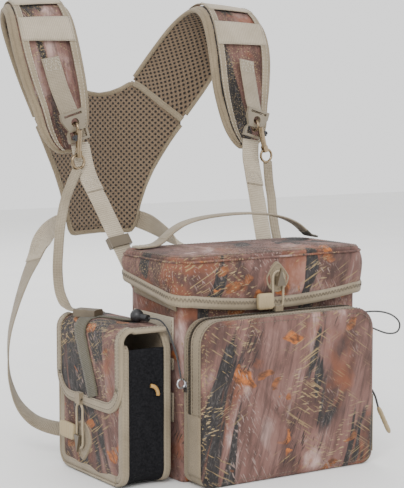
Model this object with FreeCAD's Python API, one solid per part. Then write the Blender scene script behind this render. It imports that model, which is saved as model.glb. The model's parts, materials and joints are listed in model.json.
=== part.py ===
"""Binocular harness pack: chest bag, side pouch, shoulder harness and their moving pieces.

Millimetres. +X points to the wearer's left, +Y points from the bag to the wearer, +Z is up.
The origin is the middle of the chest panel's face that rests on the wearer. Names ending in left
and right are as seen by someone who faces the wearer: right is +X.
"""
import FreeCAD, Part
import math
import os

V = FreeCAD.Vector
X_AXIS = V(1, 0, 0)
Y_AXIS = V(0, 1, 0)
Z_AXIS = V(0, 0, 1)
ORIGIN = V(0, 0, 0)

# ---- driving dimensions ------------------------------------------------------------------
BAG_W = 206.0            # outside width of the main compartment
POCKET_W = 202.0         # width of the front pocket
PANEL_T = 6.0            # padded chest panel
PANEL_HALF_W = 65.0      # it stays between the two shoulder straps' lower ends
MAIN_D = 103.0           # depth of the main compartment
POCKET_D = 32.0          # depth of the front pocket
BAG_BOTTOM = -110.0
BAG_RIM = 86.0           # rim at the front and sides
REAR_RIM = 72.0          # rim at the rear corners, under the lid's fabric gusset
LID_TOP = 105.0
LID_FRONT_EDGE = 57.0    # lower edge of the lid at its front corners
LID_DIP_EDGE = 49.2      # lower edge of the lid at the middle of its front
LID_REAR_EDGE = 76.0     # lower edge of the lid at the rear
POCKET_TOP = 46.0
POCKET_FOLD = -45.0      # the zip ends here and the pocket's front folds about this line
WALL = 4.0               # padded fabric wall
LINING_T = 1.2
CLEAR = 0.3              # gap between neighbouring soft solids
WEBBING_W = 20.0
WEBBING_T = 1.6
TETHER_W = 10.0
TETHER_T = 1.4
PAD_T = 8.0              # shoulder pad thickness
YOKE_T = 7.0

HALF_W = BAG_W / 2
POCKET_HALF_W = POCKET_W / 2
MAIN_REAR = -PANEL_T - CLEAR
MAIN_FRONT = -PANEL_T - MAIN_D
POCKET_REAR = MAIN_FRONT - CLEAR
POCKET_FRONT = MAIN_FRONT - POCKET_D
REAR_CORNER_R = 14.0
FRONT_CORNER_R = 7.0

LID_SIDE_GAP = 5.5
LID_FRONT_GAP = 2.0
LID_HALF_W = HALF_W + LID_SIDE_GAP + WALL
LID_FRONT = MAIN_FRONT - LID_FRONT_GAP - WALL
LID_FRONT_R = 18.0
LID_REAR_R = 20.0
LID_REAR = -2.3
LID_BINDING_H = 11.0
LID_BINDING_PROUD = 0.6
LID_REAR_OPEN = LID_HALF_W - LID_REAR_R

# side pouch: its outer face looks along -X
POUCH_OUT = -162.0
POUCH_IN = -114.0
POUCH_FRONT = -103.0
POUCH_REAR = 22.0
POUCH_BOTTOM = -108.0
POUCH_TOP = 37.0
POUCH_RIM = 24.0
FLAP_EDGE = -40.0
FLAP_T = 3.0
CLASP_Y = -27.0          # middle of the pouch's clasp

HOOK_X = 112.0           # snap hooks hang at this distance from the middle
HOOK_Y = 74.5
HOOK_LEAN = {"left": 3.0, "right": 14.0}      # degrees that the straps pull each hook outwards
SLIDER_SHARE = {"left": 0.53, "right": 0.72}  # place of each adjuster along its webbing
BUCKLE_Y = 80.0
BUCKLE_T = 4.0
BUCKLE_TILT = 17.0


# ---- helpers ------------------------------------------------------------------------------
def box(x0, x1, y0, y1, z0, z1):
    return Part.makeBox(x1 - x0, y1 - y0, z1 - z0, V(x0, y0, z0))


def fillet_along(shape, radius, axis, keep=lambda centre: True):
    """Round the straight edges that run along one axis, where keep(centre) is true."""
    chosen = []
    for edge in shape.Edges:
        if edge.Curve.TypeId != "Part::GeomLine":
            continue
        along = edge.tangentAt(edge.FirstParameter)
        if abs(along.dot(axis)) > 0.999 and keep(edge.CenterOfMass):
            chosen.append(edge)
    return shape.makeFillet(radius, chosen)


def mirrored(shape):
    return shape.mirror(ORIGIN, X_AXIS)


def to_frame(shape, origin, x_dir, y_dir, z_dir):
    """Place a shape made at the origin so that its axes become the three given ones."""
    matrix = FreeCAD.Matrix(
        x_dir.x, y_dir.x, z_dir.x, origin.x,
        x_dir.y, y_dir.y, z_dir.y, origin.y,
        x_dir.z, y_dir.z, z_dir.z, origin.z,
        0, 0, 0, 1)
    return shape.transformGeometry(matrix)


def arched_outline(half_w, z0, z1, low_r, high_r):
    """Closed XZ wire at y = 0: a rectangle with its own radius below and above."""
    def arc(cx, cz, radius, start):
        angles = [math.radians(start + step) for step in (0, 45, 90)]
        return Part.Arc(*[V(cx + radius * math.cos(a), 0, cz + radius * math.sin(a))
                          for a in angles]).toShape()

    corners = [
        (half_w - low_r, z0 + low_r, low_r, 270),
        (half_w - high_r, z1 - high_r, high_r, 0),
        (-half_w + high_r, z1 - high_r, high_r, 90),
        (-half_w + low_r, z0 + low_r, low_r, 180),
    ]
    arcs = [arc(*corner) for corner in corners]
    edges = []
    for index, this in enumerate(arcs):
        after = arcs[(index + 1) % len(arcs)]
        edges.append(this)
        start, end = this.Vertexes[-1].Point, after.Vertexes[0].Point
        if start.distanceToPoint(end) > 1e-6:
            edges.append(Part.makeLine(start, end))
    return Part.Wire(edges)


def plate_xz(wire, y0, y1):
    face = Part.Face(wire)
    face.translate(V(0, y0, 0))
    return face.extrude(V(0, y1 - y0, 0))


def ribbon(points, width, thickness, across):
    """Flat strip along a route; across is one width direction, or one for each point."""
    route = [V(*point) for point in points]
    hints = across if isinstance(across, list) else [across] * len(route)
    sections = []
    for index, point in enumerate(route):
        before = route[max(index - 1, 0)]
        after = route[min(index + 1, len(route) - 1)]
        along = (after - before).normalize()
        hint = V(*hints[index])
        side = (hint - along * hint.dot(along)).normalize()
        face_dir = side.cross(along).normalize()
        half_side = side * (width / 2)
        half_face = face_dir * (thickness / 2)
        corners = [point - half_side - half_face, point + half_side - half_face,
                   point + half_side + half_face, point - half_side + half_face]
        sections.append(Part.makePolygon(corners + corners[:1]))
    return Part.makeLoft(sections, True, True)


def tube(name, points, diameter):
    """Round cord: straight runs joined by tangent arcs as large as the runs allow."""
    route = [V(*point) for point in points]
    edges = []
    radii = []
    start = route[0]
    for before, corner, after in zip(route, route[1:], route[2:]):
        incoming = (corner - before).normalize()
        outgoing = (after - corner).normalize()
        half_turn = math.acos(max(-1.0, min(1.0, incoming.dot(outgoing)))) / 2
        shorter = min(before.distanceToPoint(corner), corner.distanceToPoint(after))
        setback = 0.45 * shorter
        radius = setback / math.tan(half_turn)
        radii.append(radius)
        arc_in = corner - incoming * setback
        arc_out = corner + outgoing * setback
        centre_side = (outgoing - incoming).normalize()
        middle = corner + centre_side * (math.sqrt(radius ** 2 + setback ** 2) - radius)
        edges.append(Part.LineSegment(start, arc_in).toShape())
        edges.append(Part.Arc(arc_in, middle, arc_out).toShape())
        start = arc_out
    edges.append(Part.LineSegment(start, route[-1]).toShape())
    wire = Part.Wire(edges)
    first = (route[1] - route[0]).normalize()
    profile = Part.Wire([Part.makeCircle(diameter / 2, route[0], first)])
    solid = wire.makePipeShell([profile], True, True)
    expected = math.pi * (diameter / 2) ** 2 * wire.Length
    print(name, "length", round(wire.Length, 1), "radii", [round(r, 1) for r in radii],
          "volume ratio", round(solid.Volume / expected, 3))
    return solid


def cord_ring(half_w, length, diameter):
    """Long closed loop of cord in the XZ plane, from z = 0 up to z = length."""
    radius = diameter / 2
    low = Part.makeTorus(half_w, radius, V(0, 0, half_w), Y_AXIS)
    high = Part.makeTorus(half_w, radius, V(0, 0, length - half_w), Y_AXIS)
    straight = length - 2 * half_w
    low = low.common(box(-50, 50, -50, 50, -50, half_w))
    high = high.common(box(-50, 50, -50, 50, length - half_w, length + 50))
    legs = [Part.makeCylinder(radius, straight, V(side * half_w, 0, half_w)) for side in (-1, 1)]
    return low.fuse([high] + legs).removeSplitter()


# ---- main bag ----------------------------------------------------------------------------
def bag_block(inset, z0, z1):
    """Solid block of the bag's plan, set in all round by inset."""
    shape = box(-HALF_W + inset, HALF_W - inset, MAIN_FRONT + inset, MAIN_REAR - inset, z0, z1)
    middle = (MAIN_FRONT + MAIN_REAR) / 2
    shape = fillet_along(shape, REAR_CORNER_R - inset, Z_AXIS, lambda c: c.y > middle)
    return fillet_along(shape, max(FRONT_CORNER_R - inset, 1.0), Z_AXIS, lambda c: c.y < middle)


def above_rim(drop):
    """Everything above the bag's rim, which falls towards the rear corners."""
    bend = (MAIN_FRONT + MAIN_REAR) / 2
    outline = [V(-200, MAIN_FRONT - 50, BAG_RIM - drop), V(-200, bend, BAG_RIM - drop),
               V(-200, MAIN_REAR, REAR_RIM - drop), V(-200, 50, REAR_RIM - drop - 5),
               V(-200, 50, 300), V(-200, MAIN_FRONT - 50, 300)]
    face = Part.Face(Part.makePolygon(outline + outline[:1]))
    return face.extrude(V(400, 0, 0))


def bag_shell():
    outer = bag_block(0, BAG_BOTTOM, BAG_RIM + 1)
    inner = bag_block(WALL, BAG_BOTTOM + WALL, BAG_RIM + 2)
    return outer.cut(inner).cut(above_rim(0))


def bag_lining():
    first = WALL + CLEAR
    outer = bag_block(first, BAG_BOTTOM + first, BAG_RIM + 1)
    second = first + LINING_T
    inner = bag_block(second, BAG_BOTTOM + second, BAG_RIM + 2)
    return outer.cut(inner).cut(above_rim(1.0))


def chest_panel():
    outline = arched_outline(PANEL_HALF_W, BAG_BOTTOM + 4, LID_TOP - 7.0, 18.0, 8.0)
    return plate_xz(outline, -PANEL_T, 0)


def side_bands():
    """Three webbing bands across each side of the bag."""
    bands = []
    for z0, z1 in ((21.0, 46.0), (-4.0, 7.0), (-54.0, -26.0)):
        band = box(HALF_W + 0.05, HALF_W + 1.4, MAIN_FRONT + 14, MAIN_REAR - REAR_CORNER_R - 2, z0, z1)
        bands += [band, mirrored(band)]
    return Part.makeCompound(bands)


def lid_gussets():
    """Tan fabric wedge on each side of the bag, under the lid's lower edge."""
    x0 = HALF_W + 0.05
    front, rear = MAIN_FRONT + 9, MAIN_REAR - REAR_CORNER_R - 2
    outline = [V(x0, front, 52.5), V(x0, rear, 62.0), V(x0, rear, 73.0), V(x0, front, 62.0)]
    wedge = Part.Face(Part.makePolygon(outline + outline[:1])).extrude(V(1.2, 0, 0))
    return Part.makeCompound([wedge, mirrored(wedge)])


# ---- front pocket -------------------------------------------------------------------------
POCKET_LOW_R = 12.0
POCKET_HIGH_R = 22.0


def pocket_ring(y0, y1, outset, thickness):
    """The pocket's side wall between two depths."""
    outer = arched_outline(POCKET_HALF_W + outset, BAG_BOTTOM - outset, POCKET_TOP + outset,
                           POCKET_LOW_R + outset, POCKET_HIGH_R + outset)
    inner_set = outset - thickness
    inner = arched_outline(POCKET_HALF_W + inner_set, BAG_BOTTOM - inner_set, POCKET_TOP + inner_set,
                           POCKET_LOW_R + inner_set, POCKET_HIGH_R + inner_set)
    return plate_xz(outer, y0, y1).cut(plate_xz(inner, y0 - 1, y1 + 1))


def above_fold(shape, gap=0.3):
    return shape.common(box(-200, 200, -300, 0, POCKET_FOLD + gap, 200))


def below_fold(shape, gap=0.3):
    return shape.common(box(-200, 200, -300, 0, -300, POCKET_FOLD - gap))


ZIP_Y = -119.6           # the zip runs round the pocket's side wall, near the bag
COIL_W = 1.0
PANEL_SHEET = 3.0


def pocket_gusset_rear():
    return pocket_ring(ZIP_Y + COIL_W + 0.1, POCKET_REAR, 0, PANEL_SHEET)


def zip_coil(y0, y1):
    return above_fold(pocket_ring(y0, y1, 0.8, 3.0))


def pocket_gusset_front():
    return above_fold(pocket_ring(POCKET_FRONT + PANEL_SHEET + 0.1, ZIP_Y - COIL_W - 0.1,
                                  0, PANEL_SHEET))


def pocket_sheet():
    outline = arched_outline(POCKET_HALF_W, BAG_BOTTOM, POCKET_TOP, POCKET_LOW_R, POCKET_HIGH_R)
    return plate_xz(outline, POCKET_FRONT, POCKET_FRONT + PANEL_SHEET)


def pocket_front_panel():
    return above_fold(pocket_sheet())


def pocket_lower():
    wall = pocket_ring(POCKET_FRONT + PANEL_SHEET, ZIP_Y + COIL_W, 0, PANEL_SHEET)
    return below_fold(pocket_sheet().fuse(wall)).removeSplitter()


ZIP_SLIDER_Z = -34.0


def zip_slider():
    x0 = POCKET_HALF_W + 1.1
    body = box(x0, x0 + 4, ZIP_Y - 4, ZIP_Y + 4, ZIP_SLIDER_Z - 5, ZIP_SLIDER_Z + 5)
    body = fillet_along(body, 1.2, X_AXIS)
    eye = Part.makeTorus(2.2, 0.8, V(x0 + 5.5, ZIP_Y, ZIP_SLIDER_Z), Y_AXIS)
    return body.fuse(eye).removeSplitter()


def zip_pull():
    """Stiff cord and rubber grip that stand away from the slider."""
    start = V(POCKET_HALF_W + 10.2, ZIP_Y, ZIP_SLIDER_Z - 1.6)
    cord_lean = V(0.55, 0, -0.835).normalize()
    grip_lean = V(0.40, 0, -0.917).normalize()
    joint = start + cord_lean * 29.0
    cord = Part.makeCylinder(1.0, 30.0, start, cord_lean)
    grip = Part.makeCylinder(3.2, 31.0, joint, grip_lean)
    tip = Part.makeSphere(3.2, joint + grip_lean * 31.0)
    return cord.fuse([grip, tip]).removeSplitter()


# ---- lid ------------------------------------------------------------------------------------
def lid_block(inset, z0, z1):
    shape = box(-LID_HALF_W + inset, LID_HALF_W - inset, LID_FRONT + inset, LID_REAR - inset, z0, z1)
    middle = (LID_FRONT + LID_REAR) / 2
    shape = fillet_along(shape, LID_REAR_R - inset, Z_AXIS, lambda c: c.y > middle)
    return fillet_along(shape, LID_FRONT_R - inset, Z_AXIS, lambda c: c.y < middle)


def above_lid_edge(lift):
    """Everything above the lid's lower edge, which rises towards the rear."""
    front = LID_FRONT_EDGE + lift
    rear = LID_REAR_EDGE + lift
    outline = [V(-200, LID_FRONT, front), V(-200, 0, rear), V(-200, 0, 300), V(-200, LID_FRONT - 20, 300),
               V(-200, LID_FRONT - 20, front)]
    slope = Part.Face(Part.makePolygon(outline + outline[:1])).extrude(V(400, 0, 0))
    half = LID_HALF_W - LID_FRONT_R
    left, right = V(-half, LID_FRONT - 20, front), V(half, LID_FRONT - 20, front)
    dip = Part.Arc(left, V(0, LID_FRONT - 20, LID_DIP_EDGE + lift), right).toShape()
    top_right, top_left = V(half, LID_FRONT - 20, 290), V(-half, LID_FRONT - 20, 290)
    edges = [dip, Part.makeLine(right, top_right), Part.makeLine(top_right, top_left),
             Part.makeLine(top_left, left)]
    bowed = Part.Face(Part.Wire(edges)).extrude(V(0, 20 + WALL + 0.5, 0))
    return slope.fuse(bowed)


def rear_opening():
    """The lid has no rear wall between its corners: the chest panel stands there."""
    return box(-LID_REAR_OPEN, LID_REAR_OPEN, -12, 10, 0, LID_TOP - WALL)


def lid_shell():
    outer = lid_block(0, LID_DIP_EDGE, LID_TOP)
    outer = outer.makeFillet(5.0, [e for e in outer.Edges if e.CenterOfMass.z > LID_TOP - 0.01])
    inner = lid_block(WALL, LID_DIP_EDGE - 1, LID_TOP - WALL)
    return outer.cut(inner).common(above_lid_edge(LID_BINDING_H)).cut(rear_opening())


def lid_binding():
    outer = lid_block(-LID_BINDING_PROUD, LID_DIP_EDGE - 1, LID_TOP - 8)
    inner = lid_block(WALL, LID_DIP_EDGE - 2, LID_TOP)
    band = outer.cut(inner).common(above_lid_edge(0)).cut(above_lid_edge(LID_BINDING_H))
    return band.cut(rear_opening()).cut(box(-300, 300, LID_REAR, 50, 0, 200))


def spade(width, height, y0, y1, point_up):
    """Spade-shaped stitched patch in the XZ plane: round below, pointed above."""
    half = width / 2
    side = -1 if not point_up else 1
    low = V(0, y0, -height / 2 * side)
    left = V(-half, y0, -height * 0.12 * side)
    right = V(half, y0, -height * 0.12 * side)
    apex = V(0, y0, height / 2 * side)
    bulge = V(half * 0.62, y0, height * 0.24 * side)
    base = Part.Arc(left, low, right).toShape()
    flank = Part.Arc(right, bulge, apex).toShape()
    other = Part.Arc(apex, V(-bulge.x, y0, bulge.z), left).toShape()
    return Part.Face(Part.Wire([base, flank, other])).extrude(V(0, y1 - y0, 0))


def clasp_hook(point_up):
    """Moulded hook: a stem standing off the patch along -Y, with a pointed lip."""
    side = 1 if point_up else -1
    stem = box(-3.5, 3.5, -5.5, 0, -4, 4)
    outline = [V(-5, -5.5, -5 * side), V(5, -5.5, -5 * side), V(0, -5.5, 12 * side)]
    lip = Part.Face(Part.makePolygon(outline + outline[:1])).extrude(V(0, -2.6, 0))
    return stem.fuse(lip).removeSplitter()


LID_FACE = LID_FRONT - LID_BINDING_PROUD
PATCH_Z = 76.0
PATCH_T = 1.6
LID_HOOK_Z = 72.0
LOOP_D = 2.4
LOOP_HALF_W = 6.0
LID_LOOP_LEN = 36.0
LOOP_ANCHOR = V(0, LID_FACE - 3.2, 49.8)


def lid_patch():
    """Wedge of padding and the patch on it, proud of the lid's front face."""
    shape = spade(28.0, 30.0, LID_FRONT - PATCH_T, LID_FRONT, True)
    shape.translate(V(0, 0, PATCH_Z + 4))
    return shape.cut(lid_binding())


def lid_hook():
    shape = clasp_hook(True)
    shape.translate(V(0, LID_FRONT - PATCH_T, LID_HOOK_Z + 5))
    return shape


def lid_loop():
    shape = cord_ring(LOOP_HALF_W, LID_LOOP_LEN, LOOP_D)
    shape.translate(LOOP_ANCHOR)
    return shape


def lid_loop_anchor():
    """Webbing tab on the bag's front that holds the cord loop."""
    low = POCKET_TOP + 1.1
    tab = box(-4.5, 4.5, LOOP_ANCHOR.y - 2.6, MAIN_FRONT - 0.05, low, low + 0.9)
    top = box(-4.5, 4.5, LOOP_ANCHOR.y - 2.6, LOOP_ANCHOR.y + 2.6, low + 0.9, low + 5.4)
    hole = Part.makeTorus(LOOP_HALF_W, LOOP_D / 2 + 0.4, LOOP_ANCHOR + V(0, 0, LOOP_HALF_W), Y_AXIS)
    return tab.fuse(top).removeSplitter().cut(hole)


def pull_tab(length):
    """Rubber tab on a cord loop: length along -X from the origin."""
    tab = box(-length, 0, -3.2, 3.2, -8, 8)
    return fillet_along(tab, 2.0, X_AXIS)


def lid_pull_tab():
    shape = pull_tab(18.0)
    shape.translate(LOOP_ANCHOR + V(-LOOP_HALF_W - LOOP_D / 2 - 0.1, -1.0, 8.0))
    return shape


HANDLE_Y = -30.0
HANDLE_W = 15.0
HANDLE_T = 2.0
HANDLE_PIVOT = 8.4       # the free arch swings about this height over the lid's top
# (x, height over the lid's top): the arch is fuller on its right-hand side
HANDLE_ARCH = [(-73.5, 8.6), (-66, 14), (-52, 21), (-32, 25.5), (-6, 27.8), (20, 28.2), (46, 26.5),
               (68, 22), (84, 15.5), (94, 8.6)]
HANDLE_ENDS = [[(-106, 0), (-97, 0), (-86, 1.0), (-79, 4.0), (-75.4, 6.4)],
               [(95.8, 6.4), (99, 3.8), (102, 1.6), (109, 0)]]


def handle_strip(stations):
    rest = LID_TOP + HANDLE_T / 2 + CLEAR
    return ribbon([(x, HANDLE_Y, rest + height) for x, height in stations], HANDLE_W, HANDLE_T, Y_AXIS)


def carry_handle():
    """Free webbing arch over the lid."""
    return handle_strip(HANDLE_ARCH)


def handle_ends():
    """The handle's two ends, sewn flat on the lid's top."""
    return Part.makeCompound([handle_strip(stations) for stations in HANDLE_ENDS])


# ---- side pouch ------------------------------------------------------------------------------
def pouch_block(x0, x1, inset, z1, low_r, high_r):
    shape = box(x0, x1, POUCH_FRONT + inset, POUCH_REAR - inset, POUCH_BOTTOM + inset, z1)
    middle = (POUCH_BOTTOM + z1) / 2
    shape = fillet_along(shape, low_r, X_AXIS, lambda c: c.z < middle)
    if high_r:
        shape = fillet_along(shape, high_r, X_AXIS, lambda c: c.z > middle)
    return shape


def pouch_back_panel():
    return pouch_block(POUCH_IN - 3, POUCH_IN, 0, POUCH_TOP, 14, 22)


def pouch_front_panel():
    return pouch_block(POUCH_OUT, POUCH_OUT + 3, 0, POUCH_RIM, 14, 0)


def pouch_gusset():
    """Stretch side walls and floor between the pouch's front and back panels."""
    outer = pouch_block(POUCH_OUT + 3.1, POUCH_IN - 3.1, 1.0, POUCH_RIM - 2, 14, 0)
    inner = pouch_block(POUCH_OUT + 2, POUCH_IN - 2, 3.5, POUCH_RIM + 10, 12, 0)
    return outer.cut(inner)


def pouch_flap():
    """Flap over the pouch's top and outer face, hinged along the inner top edge."""
    top = POUCH_TOP + 0.4
    outer = box(POUCH_OUT - 0.5 - FLAP_T, POUCH_IN - 3.4, POUCH_FRONT, POUCH_REAR, FLAP_EDGE, top + FLAP_T)
    inner = box(POUCH_OUT - 0.5, POUCH_IN + 20, POUCH_FRONT - 1, POUCH_REAR + 1, FLAP_EDGE - 1, top)
    outer = fillet_along(outer, 12.0, Y_AXIS, lambda c: c.x < POUCH_OUT and c.z > 0)
    inner = fillet_along(inner, 9.0, Y_AXIS, lambda c: c.x < POUCH_OUT + 5 and c.z > 0)
    flap = outer.cut(inner)
    rounding = pouch_rounding(FLAP_EDGE, 200.0, 28.0)
    return flap.common(rounding)


def pouch_rounding(z0, z1, radius):
    shape = box(POUCH_OUT - 30, POUCH_IN + 10, POUCH_FRONT, POUCH_REAR, z0, z1)
    return fillet_along(shape, radius, X_AXIS, lambda c: c.z < (z0 + z1) / 2)


def facing_out(shape, x, y, z):
    """Turn a shape made to look along -Y so that it looks along -X, and place it."""
    shape.rotate(ORIGIN, Z_AXIS, -90)
    shape.translate(V(x, y, z))
    return shape


POUCH_PATCH_Z = -77.0
POUCH_HOOK_Z = -76.0
POUCH_LOOP = V(POUCH_OUT - 5.6, CLASP_Y, -84.0)
POUCH_LOOP_LEN = 49.0


def pouch_patch():
    return facing_out(spade(36.0, 40.0, -PATCH_T, 0, False), POUCH_OUT, CLASP_Y, POUCH_PATCH_Z)


def pouch_hook():
    return facing_out(clasp_hook(False), POUCH_OUT - PATCH_T, CLASP_Y, POUCH_HOOK_Z)


def pouch_loop():
    return facing_out(cord_ring(LOOP_HALF_W, POUCH_LOOP_LEN, LOOP_D), *POUCH_LOOP)


def pouch_loop_tab():
    """Webbing tab at the flap's lower edge that holds the cord loop."""
    high = POUCH_LOOP.z + POUCH_LOOP_LEN
    tab = box(POUCH_OUT - 8.6, POUCH_OUT - 0.5 - FLAP_T - 0.05, CLASP_Y - 4.5, CLASP_Y + 4.5,
              high - 5.5, high + 5.5)
    hole = Part.makeTorus(LOOP_HALF_W, LOOP_D / 2 + 0.4,
                          V(POUCH_LOOP.x, CLASP_Y, high - LOOP_HALF_W), X_AXIS)
    return tab.cut(hole)


def pouch_pull_tab():
    shape = facing_out(pull_tab(28.0), POUCH_LOOP.x - 1.0, CLASP_Y + LOOP_HALF_W + LOOP_D / 2 + 0.1,
                       POUCH_LOOP.z + 14.0)
    return shape


def pouch_mount_straps():
    """Two webbing loops that hold the pouch against the bag's side."""
    x0 = POUCH_IN + 0.05
    x1 = -HALF_W - 1.6
    return Part.makeCompound([box(x0, x1, -78, -52, z0, z0 + 25) for z0 in (-50.0, -2.0)])


def pouch_toggle():
    """Small curved toggle on the pouch's front side wall."""
    arc = Part.makeTorus(10.0, 1.7, V(-136.0, POUCH_FRONT - 1.0, -24.0), Y_AXIS)
    return arc.common(box(-134, -120, POUCH_FRONT - 10, POUCH_FRONT + 10, -24, -10))


TOP_STRAP_Z = POUCH_TOP + 0.4 + FLAP_T + 0.5


def top_strap_frame(start, end):
    along = (end - start).normalize()
    return along, Z_AXIS.cross(along)


def pouch_top_strap():
    """Webbing from the tether's buckle across the flap to the cord lock."""
    z = TOP_STRAP_Z + TETHER_T / 2
    return ribbon([(-143, -24, z), (-137, -40, z), (-131, -56, z)], TETHER_W, TETHER_T, (1, 0, 0))


def tether_buckle():
    start = V(-156.0, -2.0, TOP_STRAP_Z)
    end = V(-144.0, -23.0, TOP_STRAP_Z)
    along, side = top_strap_frame(start, end)
    body = box(-8, 8, 0, start.distanceToPoint(end), 0, 7)
    body = fillet_along(body, 2.0, Y_AXIS, lambda c: c.z > 3)
    return to_frame(body, start, side * -1, along, Z_AXIS)


def cord_lock():
    body = Part.makeSphere(6.5, V(-127.5, -68.0, TOP_STRAP_Z + 5.4))
    stem = Part.makeCylinder(3.4, 12.0, V(-126.5, -70.0, TOP_STRAP_Z + 5.0), V(0.25, -0.95, -0.05))
    return body.fuse(stem).common(box(-160, -100, -100, -60.5, TOP_STRAP_Z, 100)).removeSplitter()


# ---- cords -----------------------------------------------------------------------------------
TETHER_CORD = [(-123.2, -82.3, 45.3), (-118.6, -89.5, 46.2), (-113.6, -95.5, 41.0),
               (-110.8, -100.5, 31.0), (-109.0, -105.3, 19.5), (-107.6, -109.8, 7.0),
               (-106.8, -113.2, -8.2)]
TETHER_CORD_D = 1.6
LENS_CORD = [(105.0, -100.0, 33.0), (115.0, -100.0, 34.0), (129.0, -100.4, 34.4), (144.0, -101.0, 33.0),
             (158.0, -101.6, 28.4), (168.0, -101.9, 19.4), (165.0, -101.8, 9.6), (152.0, -101.4, 9.0),
             (138.0, -100.8, 14.2), (125.0, -100.4, 20.0), (114.0, -100.0, 24.2), (105.0, -100.0, 26.0)]
LENS_CORD_D = 1.8


def cord_anchors():
    """Sewn tab for the lens cord and the ring that the tether cord is tied to."""
    tab = box(HALF_W + 0.05, HALF_W + 1.95, -104, -96, 22, 37)
    ring = Part.makeTorus(4.2, 1.0, V(-HALF_W - 3.6, -113.5, -13.6), V(0, 1, 0))
    post = box(-POCKET_HALF_W - 1.4, -POCKET_HALF_W - 0.05, -116.2, -111, -22, -12)
    return Part.makeCompound([tab, ring, post])


# ---- shoulder harness --------------------------------------------------------------------------
# Right-hand pad: inner surface, as (neck edge, outer edge) pairs from the yoke's seam over the
# shoulder to the tip above the buckle.
PAD_EDGES = [
    ((41, 228, 271), (94, 204, 226)),
    ((60, 220, 300), (121, 188, 271)),
    ((76, 206, 327), (138, 181, 308)),
    ((84, 190, 341), (146, 177, 329)),
    ((87, 172, 347), (151, 166, 340)),
    ((86, 155, 343), (155, 152, 338)),
    ((85, 144, 332), (158, 140, 328)),
    ((84, 135, 313), (159, 131, 311)),
    ((83, 127, 290), (157, 124, 290)),
    ((82, 119, 262), (151, 117, 262)),
    ((84, 112, 238), (144, 111, 238)),
    ((88, 107, 219), (139, 106, 217)),
    ((95, 104, 205), (131, 104, 203)),
    ((104, 103, 196), (121, 103, 195)),
]


def pad_frame(index):
    """Neck edge, outer edge and outward normal of the right pad at one section."""
    count = len(PAD_EDGES)
    neck, outer = (V(*p) for p in PAD_EDGES[index])
    before = PAD_EDGES[max(index - 1, 0)]
    after = PAD_EDGES[min(index + 1, count - 1)]
    along = (V(*after[0]) + V(*after[1]) - V(*before[0]) - V(*before[1])).normalize()
    normal = along.cross(outer - neck).normalize()
    return neck, outer, normal


def pad_section(place, share0, share1, low, high):
    """Closed rectangle on the pad: place counts sections, shares run across it."""
    index = min(int(place), len(PAD_EDGES) - 2)
    part = place - index
    frames = [pad_frame(index), pad_frame(index + 1)]
    neck, outer, normal = (frames[0][k] * (1 - part) + frames[1][k] * part for k in range(3))
    normal = normal.normalize()
    near = neck + (outer - neck) * share0
    far = neck + (outer - neck) * share1
    corners = [near + normal * low, far + normal * low, far + normal * high, near + normal * high]
    return Part.makePolygon(corners + corners[:1])


def shoulder_pad():
    sections = [pad_section(i, 0, 1, 0, PAD_T) for i in range(len(PAD_EDGES))]
    return Part.makeLoft(sections, True, True)


PAD_BANDS = ((4.3, 5.2), (6.1, 7.3))


def pad_bands():
    """Wide elastic bands across the front of each pad."""
    bands = []
    for start, end in PAD_BANDS:
        stops = [start] + [k for k in range(1, 13) if start + 0.1 < k < end - 0.1] + [end]
        sections = [pad_section(s, 0.1, 0.9, PAD_T + 0.25, PAD_T + 1.35) for s in stops]
        band = Part.makeLoft(sections, True, True)
        bands += [band, mirrored(band)]
    return Part.makeCompound(bands)


BUCKLE_CENTRE = V(111.5, BUCKLE_Y, 221.0)


def tilted(shape):
    """Buckle pieces are made upright at the origin, leaned and moved into place."""
    shape.rotate(ORIGIN, Y_AXIS, BUCKLE_TILT)
    shape.translate(BUCKLE_CENTRE)
    return shape


def buckle_point(x, y, z):
    angle = math.radians(BUCKLE_TILT)
    turned = V(x * math.cos(angle) + z * math.sin(angle), y, -x * math.sin(angle) + z * math.cos(angle))
    return turned + BUCKLE_CENTRE


def buckle():
    """Moulded strap buckle: webbing bar, triangular web with a round hole, and a D frame."""
    top = [V(-14, 0, 17), V(14, 0, 17), V(14, 0, 9), V(9, 0, -2), V(12, 0, -6), V(12, 0, -14.5),
           V(-12, 0, -14.5), V(-12, 0, -6), V(-9, 0, -2), V(-14, 0, 9)]
    plate = Part.Face(Part.makePolygon(top + top[:1])).extrude(V(0, BUCKLE_T, 0))
    slot = box(-10.4, 10.4, -1, BUCKLE_T + 1, 12.2, 14.6)
    window = box(-9.5, 9.5, -1, BUCKLE_T + 1, -11.8, -3.4)
    hole = Part.makeCylinder(4.6, BUCKLE_T + 2, V(0, -1, 5.0), Y_AXIS)
    return tilted(plate.cut(slot).cut(window).cut(hole))


def pad_webbing():
    """Webbing sewn to each pad, from its slanting seam down to the buckle's bar."""
    end = buckle_point(0, BUCKLE_T + WEBBING_T / 2 + 0.3, 13.0)
    points = [(123, 115.6, 292), (121.5, 111.9, 282), (119.5, 103.0, 262), tuple(end)]
    strip = ribbon(points, WEBBING_W, WEBBING_T, (0.95, 0, -0.3))
    return Part.makeCompound([strip, mirrored(strip)])


HOOK_BAR = V(HOOK_X, buckle_point(0, BUCKLE_T / 2, -1.0).y, buckle_point(0, 0, -1.0).z)
SHAFT_Y = HOOK_Y - 1.5
EYE_R = 5.3
RING_R = 7.0
RING_D = 2.8
RING_DROP = 27.0         # from the eye's centre down to the ring's top


def leaning(shape, lean):
    """Swing a right-hand piece outwards about its hook's eye."""
    shape.rotate(HOOK_BAR, Y_AXIS, -lean)
    return shape


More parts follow.
